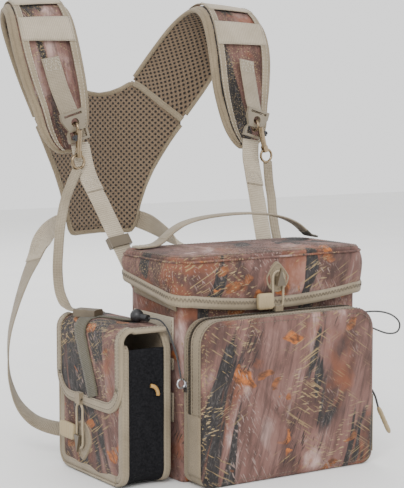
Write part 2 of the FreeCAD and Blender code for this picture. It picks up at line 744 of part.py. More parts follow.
def snap_hook(lean):
    """Closed eye round the buckle's cross bar, and the swivelling shaft that hangs in front of it."""
    eye = Part.makeTorus(EYE_R, 1.5, HOOK_BAR, X_AXIS)
    z = HOOK_BAR.z
    neck_lean = V(0, HOOK_BAR.y - EYE_R - SHAFT_Y, 6.0)
    neck = Part.makeCylinder(1.5, 8.0, V(HOOK_X, SHAFT_Y, z - 6.0), neck_lean)
    shaft = Part.makeCylinder(3.0, 22.0, V(HOOK_X, SHAFT_Y, z - 24.0))
    foot = box(HOOK_X - 2.6, HOOK_X + 2.6, SHAFT_Y - 3.0, SHAFT_Y + 3.0, z - 30.0, z - 23.0)
    bore = Part.makeCylinder(1.9, 12, V(HOOK_X - 6, SHAFT_Y, z - RING_DROP), X_AXIS)
    groove = box(HOOK_X + 1.6, HOOK_X + 6, SHAFT_Y - 1.7, SHAFT_Y + 1.7, z - 20, z - 5)
    for piece in (neck, shaft, foot, bore, groove):
        leaning(piece, lean)
    return eye.fuse([neck, shaft, foot]).removeSplitter().cut(bore).cut(groove)


def snap_gate(lean):
    """Thumb slide that runs in the shaft's groove and opens the hook."""
    z = HOOK_BAR.z
    slide = box(HOOK_X + 2.0, HOOK_X + 5.2, SHAFT_Y - 1.4, SHAFT_Y + 1.4, z - 13, z - 7)
    thumb = Part.makeCylinder(1.9, 1.6, V(HOOK_X + 5.2, SHAFT_Y, z - 10), X_AXIS)
    return leaning(slide.fuse(thumb).removeSplitter(), lean)


def snap_ring(lean):
    centre = V(HOOK_X, SHAFT_Y, HOOK_BAR.z - RING_DROP - RING_R)
    return leaning(Part.makeTorus(RING_R, RING_D / 2, centre, Y_AXIS), lean)


def ring_low(lean):
    """Where the tether strap starts, just under its ring."""
    angle = math.radians(lean)
    reach = RING_DROP + 2 * RING_R + RING_D / 2 + 1.2
    return V(HOOK_X + reach * math.sin(angle), SHAFT_Y, HOOK_BAR.z - reach * math.cos(angle))


# Elastic webbing: buckle's D frame to the top corner of the chest panel, right-hand side.
WEB_TOP = buckle_point(0, BUCKLE_T / 2 + 1.5, -17.0)
WEB_HIGH = V(97.0, 58.0, 146.0)
WEB_LOW = V(81.5, 12.0, 71.0)


def elastic_webbing():
    points = [tuple(WEB_TOP), (104.0, 80.5, 186), (102.0, 72.5, 168), tuple(WEB_HIGH), tuple(WEB_LOW),
              (79.0, 1.0, 56.0), (78.0, -4.2, 40.0), (78.0, -5.05, 22.0)]
    return ribbon(points, WEBBING_W, WEBBING_T, (1, 0, 0))


SLIDER_LEN = 11.0


def strap_slider(share):
    along = (WEB_HIGH - WEB_LOW).normalize()
    side = (X_AXIS - along * X_AXIS.dot(along)).normalize()
    face_dir = along.cross(side)
    frame = box(-13.2, 13.2, -3.4, 3.4, -SLIDER_LEN / 2, SLIDER_LEN / 2)
    frame = fillet_along(frame, 1.6, Z_AXIS)
    slot = box(-10.6, 10.6, -1.5, 1.5, -SLIDER_LEN, SLIDER_LEN)
    place = WEB_HIGH + (WEB_LOW - WEB_HIGH) * share
    return to_frame(frame.cut(slot), place, side, face_dir, along)


# Tether straps: from each hook's ring down to the pouch (left) and the bag's side (right).
LEFT_RING = ring_low(HOOK_LEAN["left"])
RIGHT_RING = ring_low(HOOK_LEAN["right"])
TETHER_LEFT = [(-LEFT_RING.x, LEFT_RING.y, LEFT_RING.z), (-122, 71, 166), (-134, 64, 147),
               (-145, 53, 124), (-153, 42.5, 101), (-159, 33, 82), (-162, 24, 64), (-162, 15.5, 53),
               (-160, 8.5, 47), (-157.6, 3.6, 45.6)]
TETHER_RIGHT = [(RIGHT_RING.x, RIGHT_RING.y, RIGHT_RING.z), (121.5, 69, 158), (118.5, 60, 141),
                (113.5, 50, 123), (108.5, 36, 101), (106, 22, 79), (105.4, 8, 58), (105.2, -5, 39),
                (105.2, -15, 25), (105.2, -19, 14)]


def tether_strap(points, last_side):
    across = [(0.9, -0.43, 0)] * (len(points) - 3) + [last_side] * 3
    return ribbon(points, TETHER_W, TETHER_T, across)


# Side straps: from the yoke's lower corners round the wearer to the panel's lower corners.
SIDE_LEFT = [(-47, 234, 110), (-62, 224, 108), (-80, 209, 103), (-94, 197, 93), (-109, 184, 77),
             (-128, 169, 56), (-147, 152, 31), (-162, 137, 6), (-172, 121, -18), (-177, 105, -40),
             (-176, 88, -60), (-169, 70, -74), (-155, 55, -81), (-136, 44, -84), (-115, 32, -84.5),
             (-99, 15, -84.5), (-89.7, -1.6, -84.5)]
SIDE_RIGHT = [(47, 234, 110), (58, 222, 104), (67, 196, 92), (76, 164, 76), (86, 126, 50), (96, 88, 14),
              (101, 58, -24), (101, 34, -54), (98, 15, -74), (94.5, 6, -82), (90.4, -1.5, -86)]


def side_strap(points, side):
    """Webbing that turns on edge between its ends; side is -1 or +1."""
    steps = len(points)
    across = []
    for index in range(steps):
        share = index / (steps - 1)
        edge_on = math.sin(math.pi * share) ** 0.7
        across.append((side * 0.42 * edge_on, 0.9 * edge_on, 1.0 - 0.7 * edge_on))
    return ribbon(points, WEBBING_W, WEBBING_T, across)


def yoke_surface_y(x):
    """The yoke wraps round the wearer's back."""
    return 232.0 - 0.0034 * x * x


# Right half of the yoke: (x, lower edge, upper edge)
YOKE_EDGES = [(0, 98, 253), (14, 97.5, 255), (28, 97, 260), (38, 96.5, 266), (42.5, 104, 265),
              (47, 126, 262), (54, 148, 256.5), (62, 167, 250), (71, 184, 242), (80, 200, 234),
              (88, 213, 227), (92, 219, 223)]


def yoke_pad():
    rows = [(-x, low, high) for x, low, high in reversed(YOKE_EDGES[1:])] + YOKE_EDGES
    sections = []
    for x, low, high in rows:
        y = yoke_surface_y(x)
        corners = [V(x, y, low), V(x, y, high), V(x, y + YOKE_T, high), V(x, y + YOKE_T, low)]
        sections.append(Part.makePolygon(corners + corners[:1]))
    return Part.makeLoft(sections, True, True)


# ---- every node ------------------------------------------------------------------------------
def build_nodes():
    nodes = {
        "bag_shell": bag_shell(),
        "bag_lining": bag_lining(),
        "chest_panel": chest_panel(),
        "side_bands": side_bands(),
        "lid_gussets": lid_gussets(),
        "pocket_gusset_rear": pocket_gusset_rear(),
        "pocket_lower": pocket_lower(),
        "pocket_gusset_front": pocket_gusset_front(),
        "pocket_front_panel": pocket_front_panel(),
        "zip_coil_rear": zip_coil(ZIP_Y + 0.05, ZIP_Y + COIL_W),
        "zip_coil_front": zip_coil(ZIP_Y - COIL_W, ZIP_Y - 0.05),
        "zip_slider": zip_slider(),
        "zip_pull": zip_pull(),
        "lid_shell": lid_shell(),
        "lid_binding": lid_binding(),
        "lid_patch": lid_patch(),
        "lid_hook": lid_hook(),
        "lid_loop": lid_loop(),
        "lid_loop_anchor": lid_loop_anchor(),
        "lid_pull_tab": lid_pull_tab(),
        "carry_handle": carry_handle(),
        "handle_ends": handle_ends(),
        "pouch_back_panel": pouch_back_panel(),
        "pouch_front_panel": pouch_front_panel(),
        "pouch_gusset": pouch_gusset(),
        "pouch_flap": pouch_flap(),
        "pouch_patch": pouch_patch(),
        "pouch_hook": pouch_hook(),
        "pouch_loop": pouch_loop(),
        "pouch_loop_tab": pouch_loop_tab(),
        "pouch_pull_tab": pouch_pull_tab(),
        "pouch_mount_straps": pouch_mount_straps(),
        "pouch_toggle": pouch_toggle(),
        "pouch_top_strap": pouch_top_strap(),
        "tether_buckle": tether_buckle(),
        "cord_lock": cord_lock(),
        "tether_cord": tube("tether_cord", TETHER_CORD, TETHER_CORD_D),
        "lens_cord": tube("lens_cord", LENS_CORD, LENS_CORD_D),
        "cord_anchors": cord_anchors(),
        "pad_bands": pad_bands(),
        "pad_webbing": pad_webbing(),
        "snap_rings": Part.makeCompound([snap_ring(HOOK_LEAN["right"]),
                                         mirrored(snap_ring(HOOK_LEAN["left"]))]),
        "tether_strap_left": tether_strap(TETHER_LEFT, (0.9, 0.43, 0)),
        "tether_strap_right": tether_strap(TETHER_RIGHT, (0.0, -1.0, 0)),
        "side_strap_left": side_strap(SIDE_LEFT, 1),
        "side_strap_right": side_strap(SIDE_RIGHT, -1),
        "yoke_pad": yoke_pad(),
    }
    for side, finish in (("right", lambda shape: shape), ("left", mirrored)):
        lean = HOOK_LEAN[side]
        nodes["shoulder_pad_" + side] = finish(shoulder_pad())
        nodes["buckle_" + side] = finish(buckle())
        nodes["snap_hook_" + side] = finish(snap_hook(lean))
        nodes["snap_gate_" + side] = finish(snap_gate(lean))
        nodes["elastic_webbing_" + side] = finish(elastic_webbing())
        nodes["strap_slider_" + side] = finish(strap_slider(SLIDER_SHARE[side]))
    return nodes


os.makedirs("parts", exist_ok=True)
for node, shape in build_nodes().items():
    solids = shape.Solids
    if not solids or not shape.isValid() or any(solid.Volume <= 0 for solid in solids):
        print("PROBLEM", node, len(solids), shape.isValid(), [round(s.Volume, 2) for s in solids])
    shape.exportStep(os.path.join("parts", node + ".step"))
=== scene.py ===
"""Looks of the binocular harness pack: fabric, webbing, mesh, stitches, cords and finishes.

Lengths in the tables below are millimetres in the part's frame; mm() turns them into metres.
"""
import bpy
import json
import math
import numpy as np
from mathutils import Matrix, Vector, noise


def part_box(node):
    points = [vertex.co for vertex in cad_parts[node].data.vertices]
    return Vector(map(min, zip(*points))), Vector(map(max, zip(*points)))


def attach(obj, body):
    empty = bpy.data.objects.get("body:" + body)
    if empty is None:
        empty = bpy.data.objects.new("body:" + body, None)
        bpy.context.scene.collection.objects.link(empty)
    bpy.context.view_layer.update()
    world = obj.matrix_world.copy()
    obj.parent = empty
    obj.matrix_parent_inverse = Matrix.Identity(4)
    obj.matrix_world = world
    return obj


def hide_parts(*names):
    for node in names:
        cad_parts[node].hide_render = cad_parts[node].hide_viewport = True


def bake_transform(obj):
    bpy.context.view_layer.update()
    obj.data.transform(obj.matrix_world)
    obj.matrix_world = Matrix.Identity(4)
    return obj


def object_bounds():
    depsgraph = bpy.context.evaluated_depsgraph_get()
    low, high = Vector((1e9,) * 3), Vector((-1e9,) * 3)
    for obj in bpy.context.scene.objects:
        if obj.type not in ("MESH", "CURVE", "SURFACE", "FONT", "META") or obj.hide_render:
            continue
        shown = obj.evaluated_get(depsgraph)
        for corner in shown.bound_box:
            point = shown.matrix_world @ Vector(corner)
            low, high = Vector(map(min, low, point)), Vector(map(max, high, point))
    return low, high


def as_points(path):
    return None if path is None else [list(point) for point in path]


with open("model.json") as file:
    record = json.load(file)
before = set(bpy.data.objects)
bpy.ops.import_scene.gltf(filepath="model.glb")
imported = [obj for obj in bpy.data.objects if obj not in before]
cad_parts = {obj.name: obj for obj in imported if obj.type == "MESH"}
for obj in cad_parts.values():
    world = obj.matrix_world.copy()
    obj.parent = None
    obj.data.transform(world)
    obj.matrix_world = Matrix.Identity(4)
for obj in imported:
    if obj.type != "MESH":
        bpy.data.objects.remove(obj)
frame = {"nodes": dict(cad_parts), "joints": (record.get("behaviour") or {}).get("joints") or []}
cad_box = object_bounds()
MM = 0.001


def mm(*point):
    return Vector(point) * MM


def node_box(node):
    """A CAD node's corners in millimetres."""
    low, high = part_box(node)
    return low / MM, high / MM


# ---- camera, light, floor -------------------------------------------------------------------
def add_camera():
    camera = bpy.data.objects.new("camera", bpy.data.cameras.new("camera"))
    bpy.context.scene.collection.objects.link(camera)
    yaw, pitch = math.radians(32.72), math.radians(5.76)
    forward = Vector((math.sin(yaw) * math.cos(pitch), math.cos(yaw) * math.cos(pitch), -math.sin(pitch)))
    camera.location = mm(-841.5, -1293.2, 257.4)
    camera.rotation_euler = forward.to_track_quat("-Z", "Y").to_euler()
    camera.data.sensor_fit = "VERTICAL"
    camera.data.sensor_height = 36.0
    camera.data.lens = 111.6
    bpy.context.scene.camera = camera


def area_light(name, place, target, size, power):
    data = bpy.data.lights.new(name, "AREA")
    data.size = size
    data.energy = power
    light = bpy.data.objects.new(name, data)
    bpy.context.scene.collection.objects.link(light)
    light.location = Vector(place)
    light.rotation_euler = (Vector(target) - Vector(place)).to_track_quat("-Z", "Y").to_euler()


def add_studio():
    world = bpy.data.worlds.new("studio")
    bpy.context.scene.world = world
    world.use_nodes = True
    background = world.node_tree.nodes["Background"]
    background.inputs["Color"].default_value = (0.95, 0.95, 0.95, 1)
    background.inputs["Strength"].default_value = 1.5
    centre = (0, 0.02, 0.05)
    area_light("key", (-1.3, -1.5, 1.5), centre, 1.1, 34)
    area_light("fill", (1.6, -1.2, 0.7), centre, 1.5, 10)
    area_light("back", (0.5, 1.7, 1.3), centre, 1.2, 14)
    low = cad_box[0][2]
    bpy.ops.mesh.primitive_plane_add(size=6, location=(0, 0, low - 0.0006))
    floor = bpy.context.object
    floor.name = "floor"
    floor.data.materials.append(plain_material("floor", (0.86, 0.86, 0.85), 0.9))


# ---- materials --------------------------------------------------------------------------------
class Nodes:
    """Short hand for building a material's node tree."""

    def __init__(self, name):
        self.material = bpy.data.materials.new(name)
        self.material.use_nodes = True
        self.tree = self.material.node_tree
        self.shader = self.tree.nodes["Principled BSDF"]

    def add(self, kind, **settings):
        node = self.tree.nodes.new(kind)
        for key, value in settings.items():
            if hasattr(node, key):
                setattr(node, key, value)
            else:
                node.inputs[key].default_value = value
        return node

    def link(self, source, target):
        self.tree.links.new(source, target)

    def coords(self, kind="Object", scale=(1, 1, 1), turn=(0, 0, 0)):
        texture = self.add("ShaderNodeTexCoord")
        mapping = self.add("ShaderNodeMapping", vector_type="TEXTURE")
        mapping.inputs["Scale"].default_value = [1 / s for s in scale]
        mapping.inputs["Rotation"].default_value = [math.radians(a) for a in turn]
        self.link(texture.outputs[kind], mapping.inputs["Vector"])
        return mapping.outputs["Vector"]

    def noise(self, vector, scale, detail=4.0, roughness=0.55, distortion=0.0):
        node = self.add("ShaderNodeTexNoise", Scale=scale, Detail=detail, Roughness=roughness,
                        Distortion=distortion)
        self.link(vector, node.inputs["Vector"])
        return node.outputs["Fac"]

    def ramp(self, value, stops):
        node = self.add("ShaderNodeValToRGB")
        elements = node.color_ramp.elements
        while len(elements) < len(stops):
            elements.new(0.5)
        for element, (place, colour) in zip(elements, stops):
            element.position = place
            level = colour if isinstance(colour, tuple) else (colour, colour, colour)
            element.color = (*level, 1)
        self.link(value, node.inputs["Fac"])
        return node.outputs["Color"]

    def mix(self, factor, first, second, blend="MIX"):
        node = self.add("ShaderNodeMix", data_type="RGBA", blend_type=blend)
        for value, socket in ((factor, node.inputs[0]), (first, node.inputs[6]), (second, node.inputs[7])):
            if isinstance(value, (int, float)):
                socket.default_value = value
            elif isinstance(value, tuple):
                socket.default_value = (*value, 1)
            else:
                self.link(value, socket)
        return node.outputs[2]

    def maths(self, operation, first, second=0.0):
        node = self.add("ShaderNodeMath", operation=operation)
        for index, value in enumerate((first, second)):
            if isinstance(value, (int, float)):
                node.inputs[index].default_value = value
            else:
                self.link(value, node.inputs[index])
        return node.outputs[0]

    def bump(self, height, strength, distance):
        node = self.add("ShaderNodeBump", Strength=strength, Distance=distance)
        self.link(height, node.inputs["Height"])
        self.link(node.outputs["Normal"], self.shader.inputs["Normal"])
        return node

    def finish(self, colour, roughness, sheen=0.0, metallic=0.0):
        if isinstance(colour, tuple):
            self.shader.inputs["Base Color"].default_value = (*colour, 1)
        else:
            self.link(colour, self.shader.inputs["Base Color"])
        if isinstance(roughness, float):
            self.shader.inputs["Roughness"].default_value = roughness
        else:
            self.link(roughness, self.shader.inputs["Roughness"])
        self.shader.inputs["Sheen Weight"].default_value = sheen
        self.shader.inputs["Sheen Roughness"].default_value = 0.5
        self.shader.inputs["Metallic"].default_value = metallic
        return self.material


def plain_material(name, colour, roughness):
    kit = Nodes(name)
    fine = kit.noise(kit.coords(), 8.0)
    shade = kit.ramp(fine, [(0.3, tuple(c * 0.97 for c in colour)), (0.7, colour)])
    return kit.finish(shade, roughness)


def weave_height(kit, pitch):
    """Plain weave as two crossed sine waves, pitch in metres."""
    vector = kit.coords(scale=(1 / pitch,) * 3)
    split = kit.add("ShaderNodeSeparateXYZ")
    kit.link(vector, split.inputs[0])
    flat = kit.maths("ADD", split.outputs[0], split.outputs[1])
    across = kit.maths("SINE", kit.maths("MULTIPLY", flat, math.tau))
    along = kit.maths("SINE", kit.maths("MULTIPLY", split.outputs[2], math.tau))
    return kit.maths("MULTIPLY", across, along)


def camo_material(name="camo", lean=14.0, shift=0.0, facing="Y"):
    """Woodland cloth: bark trunks, leaves, pale patches and needle strokes on a mauve-brown ground.

    facing is the axis that most of the cloth faces: marks lean about it.
    """
    kit = Nodes(name)

    def grain(stretch, angle, slide=0.0):
        turn = (0, angle, slide) if facing == "Y" else (angle, 0, slide)
        return kit.coords(scale=(1, 1, stretch), turn=turn)

    ground = kit.ramp(kit.noise(grain(0.5, lean * 0.6, shift), 22, 6, 0.56, 0.9), [
        (0.30, (0.022, 0.011, 0.009)), (0.42, (0.085, 0.040, 0.031)), (0.52, (0.155, 0.075, 0.060)),
        (0.61, (0.205, 0.107, 0.088)), (0.71, (0.43, 0.30, 0.27))])
    streaks = kit.noise(grain(0.09, lean, shift), 150, 6, 0.68, 0.4)
    ground = kit.mix(kit.ramp(streaks, [(0.40, 0.6), (0.54, 0.0)]), ground, (0.040, 0.020, 0.016))
    ground = kit.mix(kit.ramp(streaks, [(0.60, 0.0), (0.74, 0.45)]), ground, (0.42, 0.31, 0.28))
    rust = kit.noise(kit.coords(turn=(0, 20, 50 + shift)), 15, 4, 0.6, 0.5)
    ground = kit.mix(kit.ramp(rust, [(0.55, 0.0), (0.66, 0.7)]), ground, (0.20, 0.060, 0.024))
    trunks = kit.noise(grain(0.16, lean, 7 + shift), 15, 4, 0.55, 0.6)
    trunk_mask = kit.ramp(trunks, [(0.55, 0.0), (0.57, 1.0)])
    bark = kit.ramp(kit.noise(grain(0.35, lean), 230, 8, 0.75, 1.4), [
        (0.40, (0.007, 0.006, 0.006)), (0.54, (0.026, 0.021, 0.020)), (0.64, (0.085, 0.075, 0.072)),
        (0.73, (0.36, 0.34, 0.34))])
    colour = kit.mix(trunk_mask, ground, bark)
    leaf_sets = ((35, 20.0, 0.58, (0.42, 0.125, 0.026)), (-20, 28.0, 0.61, (0.26, 0.085, 0.026)))
    for angle, size, gate_at, tint in leaf_sets:
        place = grain(1.9, angle, 20 + shift)
        ragged = kit.add("ShaderNodeVectorMath", operation="ADD")
        spread = kit.add("ShaderNodeTexNoise", Scale=55.0, Detail=3.0)
        kit.link(place, spread.inputs["Vector"])
        scaled = kit.add("ShaderNodeVectorMath", operation="SCALE")
        kit.link(spread.outputs["Color"], scaled.inputs[0])
        scaled.inputs["Scale"].default_value = 0.022
        kit.link(place, ragged.inputs[0])
        kit.link(scaled.outputs[0], ragged.inputs[1])
        cells = kit.add("ShaderNodeTexVoronoi", Scale=size)
        kit.link(ragged.outputs[0], cells.inputs["Vector"])
        gate = kit.noise(kit.coords(turn=(0, 0, 40 + angle)), 16, 2)
        mask = kit.maths("MULTIPLY", kit.ramp(cells.outputs["Distance"], [(0.30, 1.0), (0.33, 0.0)]),
                         kit.ramp(gate, [(gate_at, 0.0), (gate_at + 0.02, 1.0)]))
        veins = kit.ramp(kit.noise(place, 110, 5), [(0.38, 0.85), (0.60, 0.0)])
        leaf = kit.mix(veins, tint, (0.05, 0.020, 0.009))
        colour = kit.mix(mask, colour, leaf)
    needle_sets = ((62, 0.0, (0.30, 0.21, 0.095)), (-58, 3.0, (0.25, 0.17, 0.080)),
                   (84, 6.0, (0.34, 0.25, 0.13)), (30, 8.0, (0.018, 0.012, 0.010)),
                   (-34, 11.0, (0.27, 0.19, 0.165)))
    for angle, place, tint in needle_sets:
        strokes = kit.noise(grain(0.030, angle, place * 2 + shift), 640, 2, 0.3)
        gate = kit.noise(kit.coords(turn=(place * 9, 5, shift)), 13, 3)
        mask = kit.maths("MULTIPLY", kit.ramp(strokes, [(0.61, 0.0), (0.66, 0.8)]),
                         kit.ramp(gate, [(0.52, 0.0), (0.60, 1.0)]))
        colour = kit.mix(mask, colour, tint)
    kit.bump(weave_height(kit, 0.0011), 0.35, 0.0004)
    return kit.finish(colour, 0.82, sheen=0.03)


def cloth_material(name, dark, light, pitch=0.0009, strength=0.4, rough=0.9, sheen=0.15):
    """Plain woven cloth with slow colour drift and fine threads."""
    kit = Nodes(name)
    drift = kit.noise(kit.coords(), 22, 6, 0.6)
    speck = kit.noise(kit.coords(), 900, 2, 0.5)
    colour = kit.mix(kit.ramp(drift, [(0.3, 0.0), (0.7, 1.0)]), dark, light)
    colour = kit.mix(kit.ramp(speck, [(0.35, 0.35), (0.6, 0.0)]), colour, tuple(c * 0.55 for c in dark))
    kit.bump(weave_height(kit, pitch), strength, 0.0004)
    return kit.finish(colour, rough, sheen=sheen)


def ribbed_material(name, dark, light, pitch, across_pitch, strength=0.6, sheen=0.15):
    """Webbing: ribs across and fine threads along, from the strip's own UV in metres, with painted shade
    darkening the grooves between the ribs.
    """
    kit = Nodes(name)
    split = kit.add("ShaderNodeSeparateXYZ")
    kit.link(kit.coords("UV"), split.inputs[0])
    ribs = kit.maths("SINE", kit.maths("MULTIPLY", split.outputs[0], math.tau / pitch))
    threads = kit.maths("SINE", kit.maths("MULTIPLY", split.outputs[1], math.tau / across_pitch))
    height = kit.maths("ADD", ribs, kit.maths("MULTIPLY", threads, 0.5))
    drift = kit.noise(kit.coords(), 30, 5, 0.6)
    colour = kit.mix(kit.ramp(drift, [(0.3, 0.0), (0.7, 1.0)]), dark, light)
    # painted shade: where the rib height is low, in the grooves between the ribs, the colour is mixed up to
    # halfway towards half the dark tone
    shade = kit.maths("ADD", kit.maths("MULTIPLY", height, 0.22), 0.5)
    colour = kit.mix(kit.ramp(shade, [(0.2, 0.5), (0.6, 0.0)]), colour, tuple(c * 0.5 for c in dark))
    kit.bump(height, strength, 0.0004)
    return kit.finish(colour, 0.88, sheen=sheen)


def mesh_material(name="air_mesh", pitch=0.0046):
    """Spacer mesh: round holes in staggered rows, painted near black as painted shade inside them, from UV in
    metres.
    """
    kit = Nodes(name)
    turned = kit.coords("UV", scale=(1 / pitch, 1 / pitch, 1), turn=(0, 0, 45))
    cells = kit.add("ShaderNodeTexVoronoi", Scale=1.0, Randomness=0.0)
    kit.link(turned, cells.inputs["Vector"])
    distance = cells.outputs["Distance"]
    hole = kit.ramp(distance, [(0.22, 1.0), (0.33, 0.0)])
    threads = kit.noise(kit.coords("UV", scale=(1, 1, 1)), 1500, 2)
    knit = kit.ramp(threads, [(0.35, (0.105, 0.070, 0.043)), (0.65, (0.235, 0.168, 0.108))])
    # painted shade: the holes take a near-black colour for the shade inside them
    colour = kit.mix(hole, knit, (0.012, 0.010, 0.009))
    height = kit.ramp(distance, [(0.22, 0.0), (0.42, 1.0)])
    kit.bump(height, 0.9, 0.0012)
    return kit.finish(colour, 0.92, sheen=0.1)


def knit_material(name="stretch_knit"):
    kit = Nodes(name)
    vector = kit.coords()
    split = kit.add("ShaderNodeSeparateXYZ")
    kit.link(vector, split.inputs[0])
    wales = kit.maths("SINE", kit.maths("MULTIPLY", split.outputs[1], math.tau / 0.0013))
    courses = kit.maths("SINE", kit.maths("MULTIPLY", split.outputs[2], math.tau / 0.0016))
    height = kit.maths("ADD", wales, kit.maths("MULTIPLY", courses, 0.5))
    colour = kit.ramp(kit.noise(vector, 500, 3), [(0.3, (0.004, 0.004, 0.005)), (0.7, (0.014, 0.014, 0.016))])
    kit.bump(height, 0.5, 0.0004)
    kit.shader.inputs["Specular IOR Level"].default_value = 0.12
    return kit.finish(colour, 0.85, sheen=0.0)


def moulded_material(name, colour, roughness=0.42, grain=0.25):
    kit = Nodes(name)
    fine = kit.noise(kit.coords(), 1400, 3)
    wear = kit.noise(kit.coords(), 60, 5, 0.65)
    shade = kit.ramp(wear, [(0.3, tuple(c * 0.82 for c in colour)), (0.7, tuple(c * 1.08 for c in colour))])
    rough = kit.ramp(wear, [(0.3, roughness * 0.85), (0.7, min(1.0, roughness * 1.25))])
    kit.bump(fine, grain, 0.0002)
    return kit.finish(shade, rough)


def metal_material(name="plated_steel", dark=(0.40, 0.40, 0.42), light=(0.66, 0.66, 0.68)):
    kit = Nodes(name)
    scratch = kit.noise(kit.coords(scale=(1, 1, 0.1)), 700, 4)
    shade = kit.ramp(scratch, [(0.3, dark), (0.7, light)])
    rough = kit.ramp(scratch, [(0.3, 0.18), (0.7, 0.34)])
    kit.bump(scratch, 0.08, 0.0001)
    return kit.finish(shade, rough, metallic=0.95)


def braid_material(name, dark, light):
    """Braided cord: crossing diagonal yarns, painted lighter on their crests and darker between them as
    painted shade.
    """
    kit = Nodes(name)
    first = kit.add("ShaderNodeTexWave", Scale=900.0, Distortion=0.6, bands_direction="DIAGONAL")
    second = kit.add("ShaderNodeTexWave", Scale=900.0, Distortion=0.6, bands_direction="DIAGONAL")
    kit.link(kit.coords(), first.inputs["Vector"])
    kit.link(kit.coords(scale=(1, 1, -1)), second.inputs["Vector"])
    height = kit.maths("MAXIMUM", first.outputs["Fac"], second.outputs["Fac"])
    # painted shade: the low places between the yarns take the dark colour and the crests take the light one
    colour = kit.mix(height, dark, light)
    kit.bump(height, 0.5, 0.0003)
    return kit.finish(colour, 0.8, sheen=0.2)


TAN_DARK = (0.195, 0.148, 0.090)
TAN_LIGHT = (0.285, 0.225, 0.145)
M = {
    "camo": camo_material(),
    "camo_side": camo_material("camo_side", lean=-18.0, shift=5.0, facing="X"),
    "tan": cloth_material("tan_cloth", TAN_DARK, TAN_LIGHT),
    "lining": cloth_material("lining", (0.10, 0.085, 0.065), (0.15, 0.125, 0.10), 0.0006, 0.2, 0.6),
    "binding": ribbed_material("binding", (0.225, 0.178, 0.115), (0.325, 0.265, 0.180), 0.0014, 0.0030, 0.5),
    "webbing": ribbed_material("webbing", (0.245, 0.198, 0.135), (0.36, 0.30, 0.215), 0.0017, 0.0024, 0.7),
    "elastic": ribbed_material("elastic", (0.36, 0.30, 0.215), (0.48, 0.41, 0.31), 0.0022, 0.0016, 0.6),
    "dark_webbing": ribbed_material("dark_webbing", (0.030, 0.027, 0.018), (0.060, 0.054, 0.038),
                                    0.0017, 0.0024),
    "olive": ribbed_material("olive_webbing", (0.060, 0.052, 0.030), (0.105, 0.090, 0.055), 0.0017, 0.0024),
    "mesh": mesh_material(),
    "knit": knit_material(),
    "thread": cloth_material("thread", (0.085, 0.062, 0.038), (0.15, 0.115, 0.075), 0.0004, 0.3, 0.7),
    "pale_thread": cloth_material("pale_thread", (0.42, 0.37, 0.29), (0.55, 0.49, 0.40), 0.0004, 0.3, 0.7),
    "plastic": moulded_material("tan_plastic", (0.20, 0.165, 0.115), 0.38),
    "bronze": moulded_material("bronze_plastic", (0.105, 0.080, 0.050), 0.36),
    "black": moulded_material("black_plastic", (0.018, 0.018, 0.020), 0.4),
    "rubber": moulded_material("soft_rubber", (0.34, 0.265, 0.150), 0.55, 0.4),
    "toggle": moulded_material("toggle_rubber", (0.40, 0.235, 0.075), 0.45, 0.3),
    "metal": metal_material(),
    "brass": metal_material("antique_brass", (0.16, 0.115, 0.065), (0.33, 0.25, 0.16)),
    "cord_tan": braid_material("tan_cord", (0.16, 0.12, 0.07), (0.42, 0.34, 0.22)),
    "cord_black": braid_material("black_cord", (0.008, 0.008, 0.008), (0.05, 0.05, 0.052)),
    "coil": moulded_material("zip_coil", (0.040, 0.031, 0.021), 0.5),
}


# ---- mesh helpers --------------------------------------------------------------------------------
def new_piece(name, verts, faces, material, body, nodes=(), uvs=None):
    """A mesh piece from millimetre vertices; material is a key of M, or a list with face indices."""
    mesh = bpy.data.meshes.new(name)
    mesh.from_pydata([mm(*v) for v in verts], [], faces)
    piece = bpy.data.objects.new(name, mesh)
    bpy.context.scene.collection.objects.link(piece)
    if uvs is not None:
        layer = mesh.uv_layers.new(name="UVMap")
        corner = np.array([uvs[loop.vertex_index] for loop in mesh.loops], np.float32) * MM
        layer.data.foreach_set("uv", corner.ravel())
    mesh.polygons.foreach_set("use_smooth", [True] * len(mesh.polygons))
    keys = material if isinstance(material, list) else [material]
    for key in keys:
        mesh.materials.append(M[key])
    if body:
        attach(piece, body)
    if nodes:
        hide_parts(*nodes)
    return piece


def keep_sharp(piece, degrees=40.0):
    piece.data.set_sharp_from_angle(angle=math.radians(degrees))
    return piece


def bake_modifiers(piece):
    """Replace the mesh with its evaluated one, so that no modifier is left."""
    graph = bpy.context.evaluated_depsgraph_get()
    graph.update()
    mesh = bpy.data.meshes.new_from_object(piece.evaluated_get(graph))
    piece.modifiers.clear()
    piece.data = mesh
    return piece


def thicken(piece, thickness, offset=0.0, inner=None):
    """Give a sheet its thickness in millimetres; inner is the material of its inside and rim."""
    solid = piece.modifiers.new("wall", "SOLIDIFY")
    solid.thickness = thickness * MM
    solid.offset = offset
    if inner:
        solid.material_offset = 1
        solid.material_offset_rim = 1
        piece.data.materials.append(M[inner])
    bake_modifiers(piece)


def catmull(points, per=6):
    """Smooth dense route through a few points."""
    route = [Vector(p) for p in points]
    padded = [route[0] * 2 - route[1]] + route + [route[-1] * 2 - route[-2]]
    result = []
    for a, b, c, d in zip(padded, padded[1:], padded[2:], padded[3:]):
        for step in range(per):
            t = step / per
            result.append(0.5 * ((2 * b) + (c - a) * t + (2 * a - 5 * b + 4 * c - d) * t * t
                                 + (3 * b - a - 3 * c + d) * t ** 3))
    return result + [route[-1]]


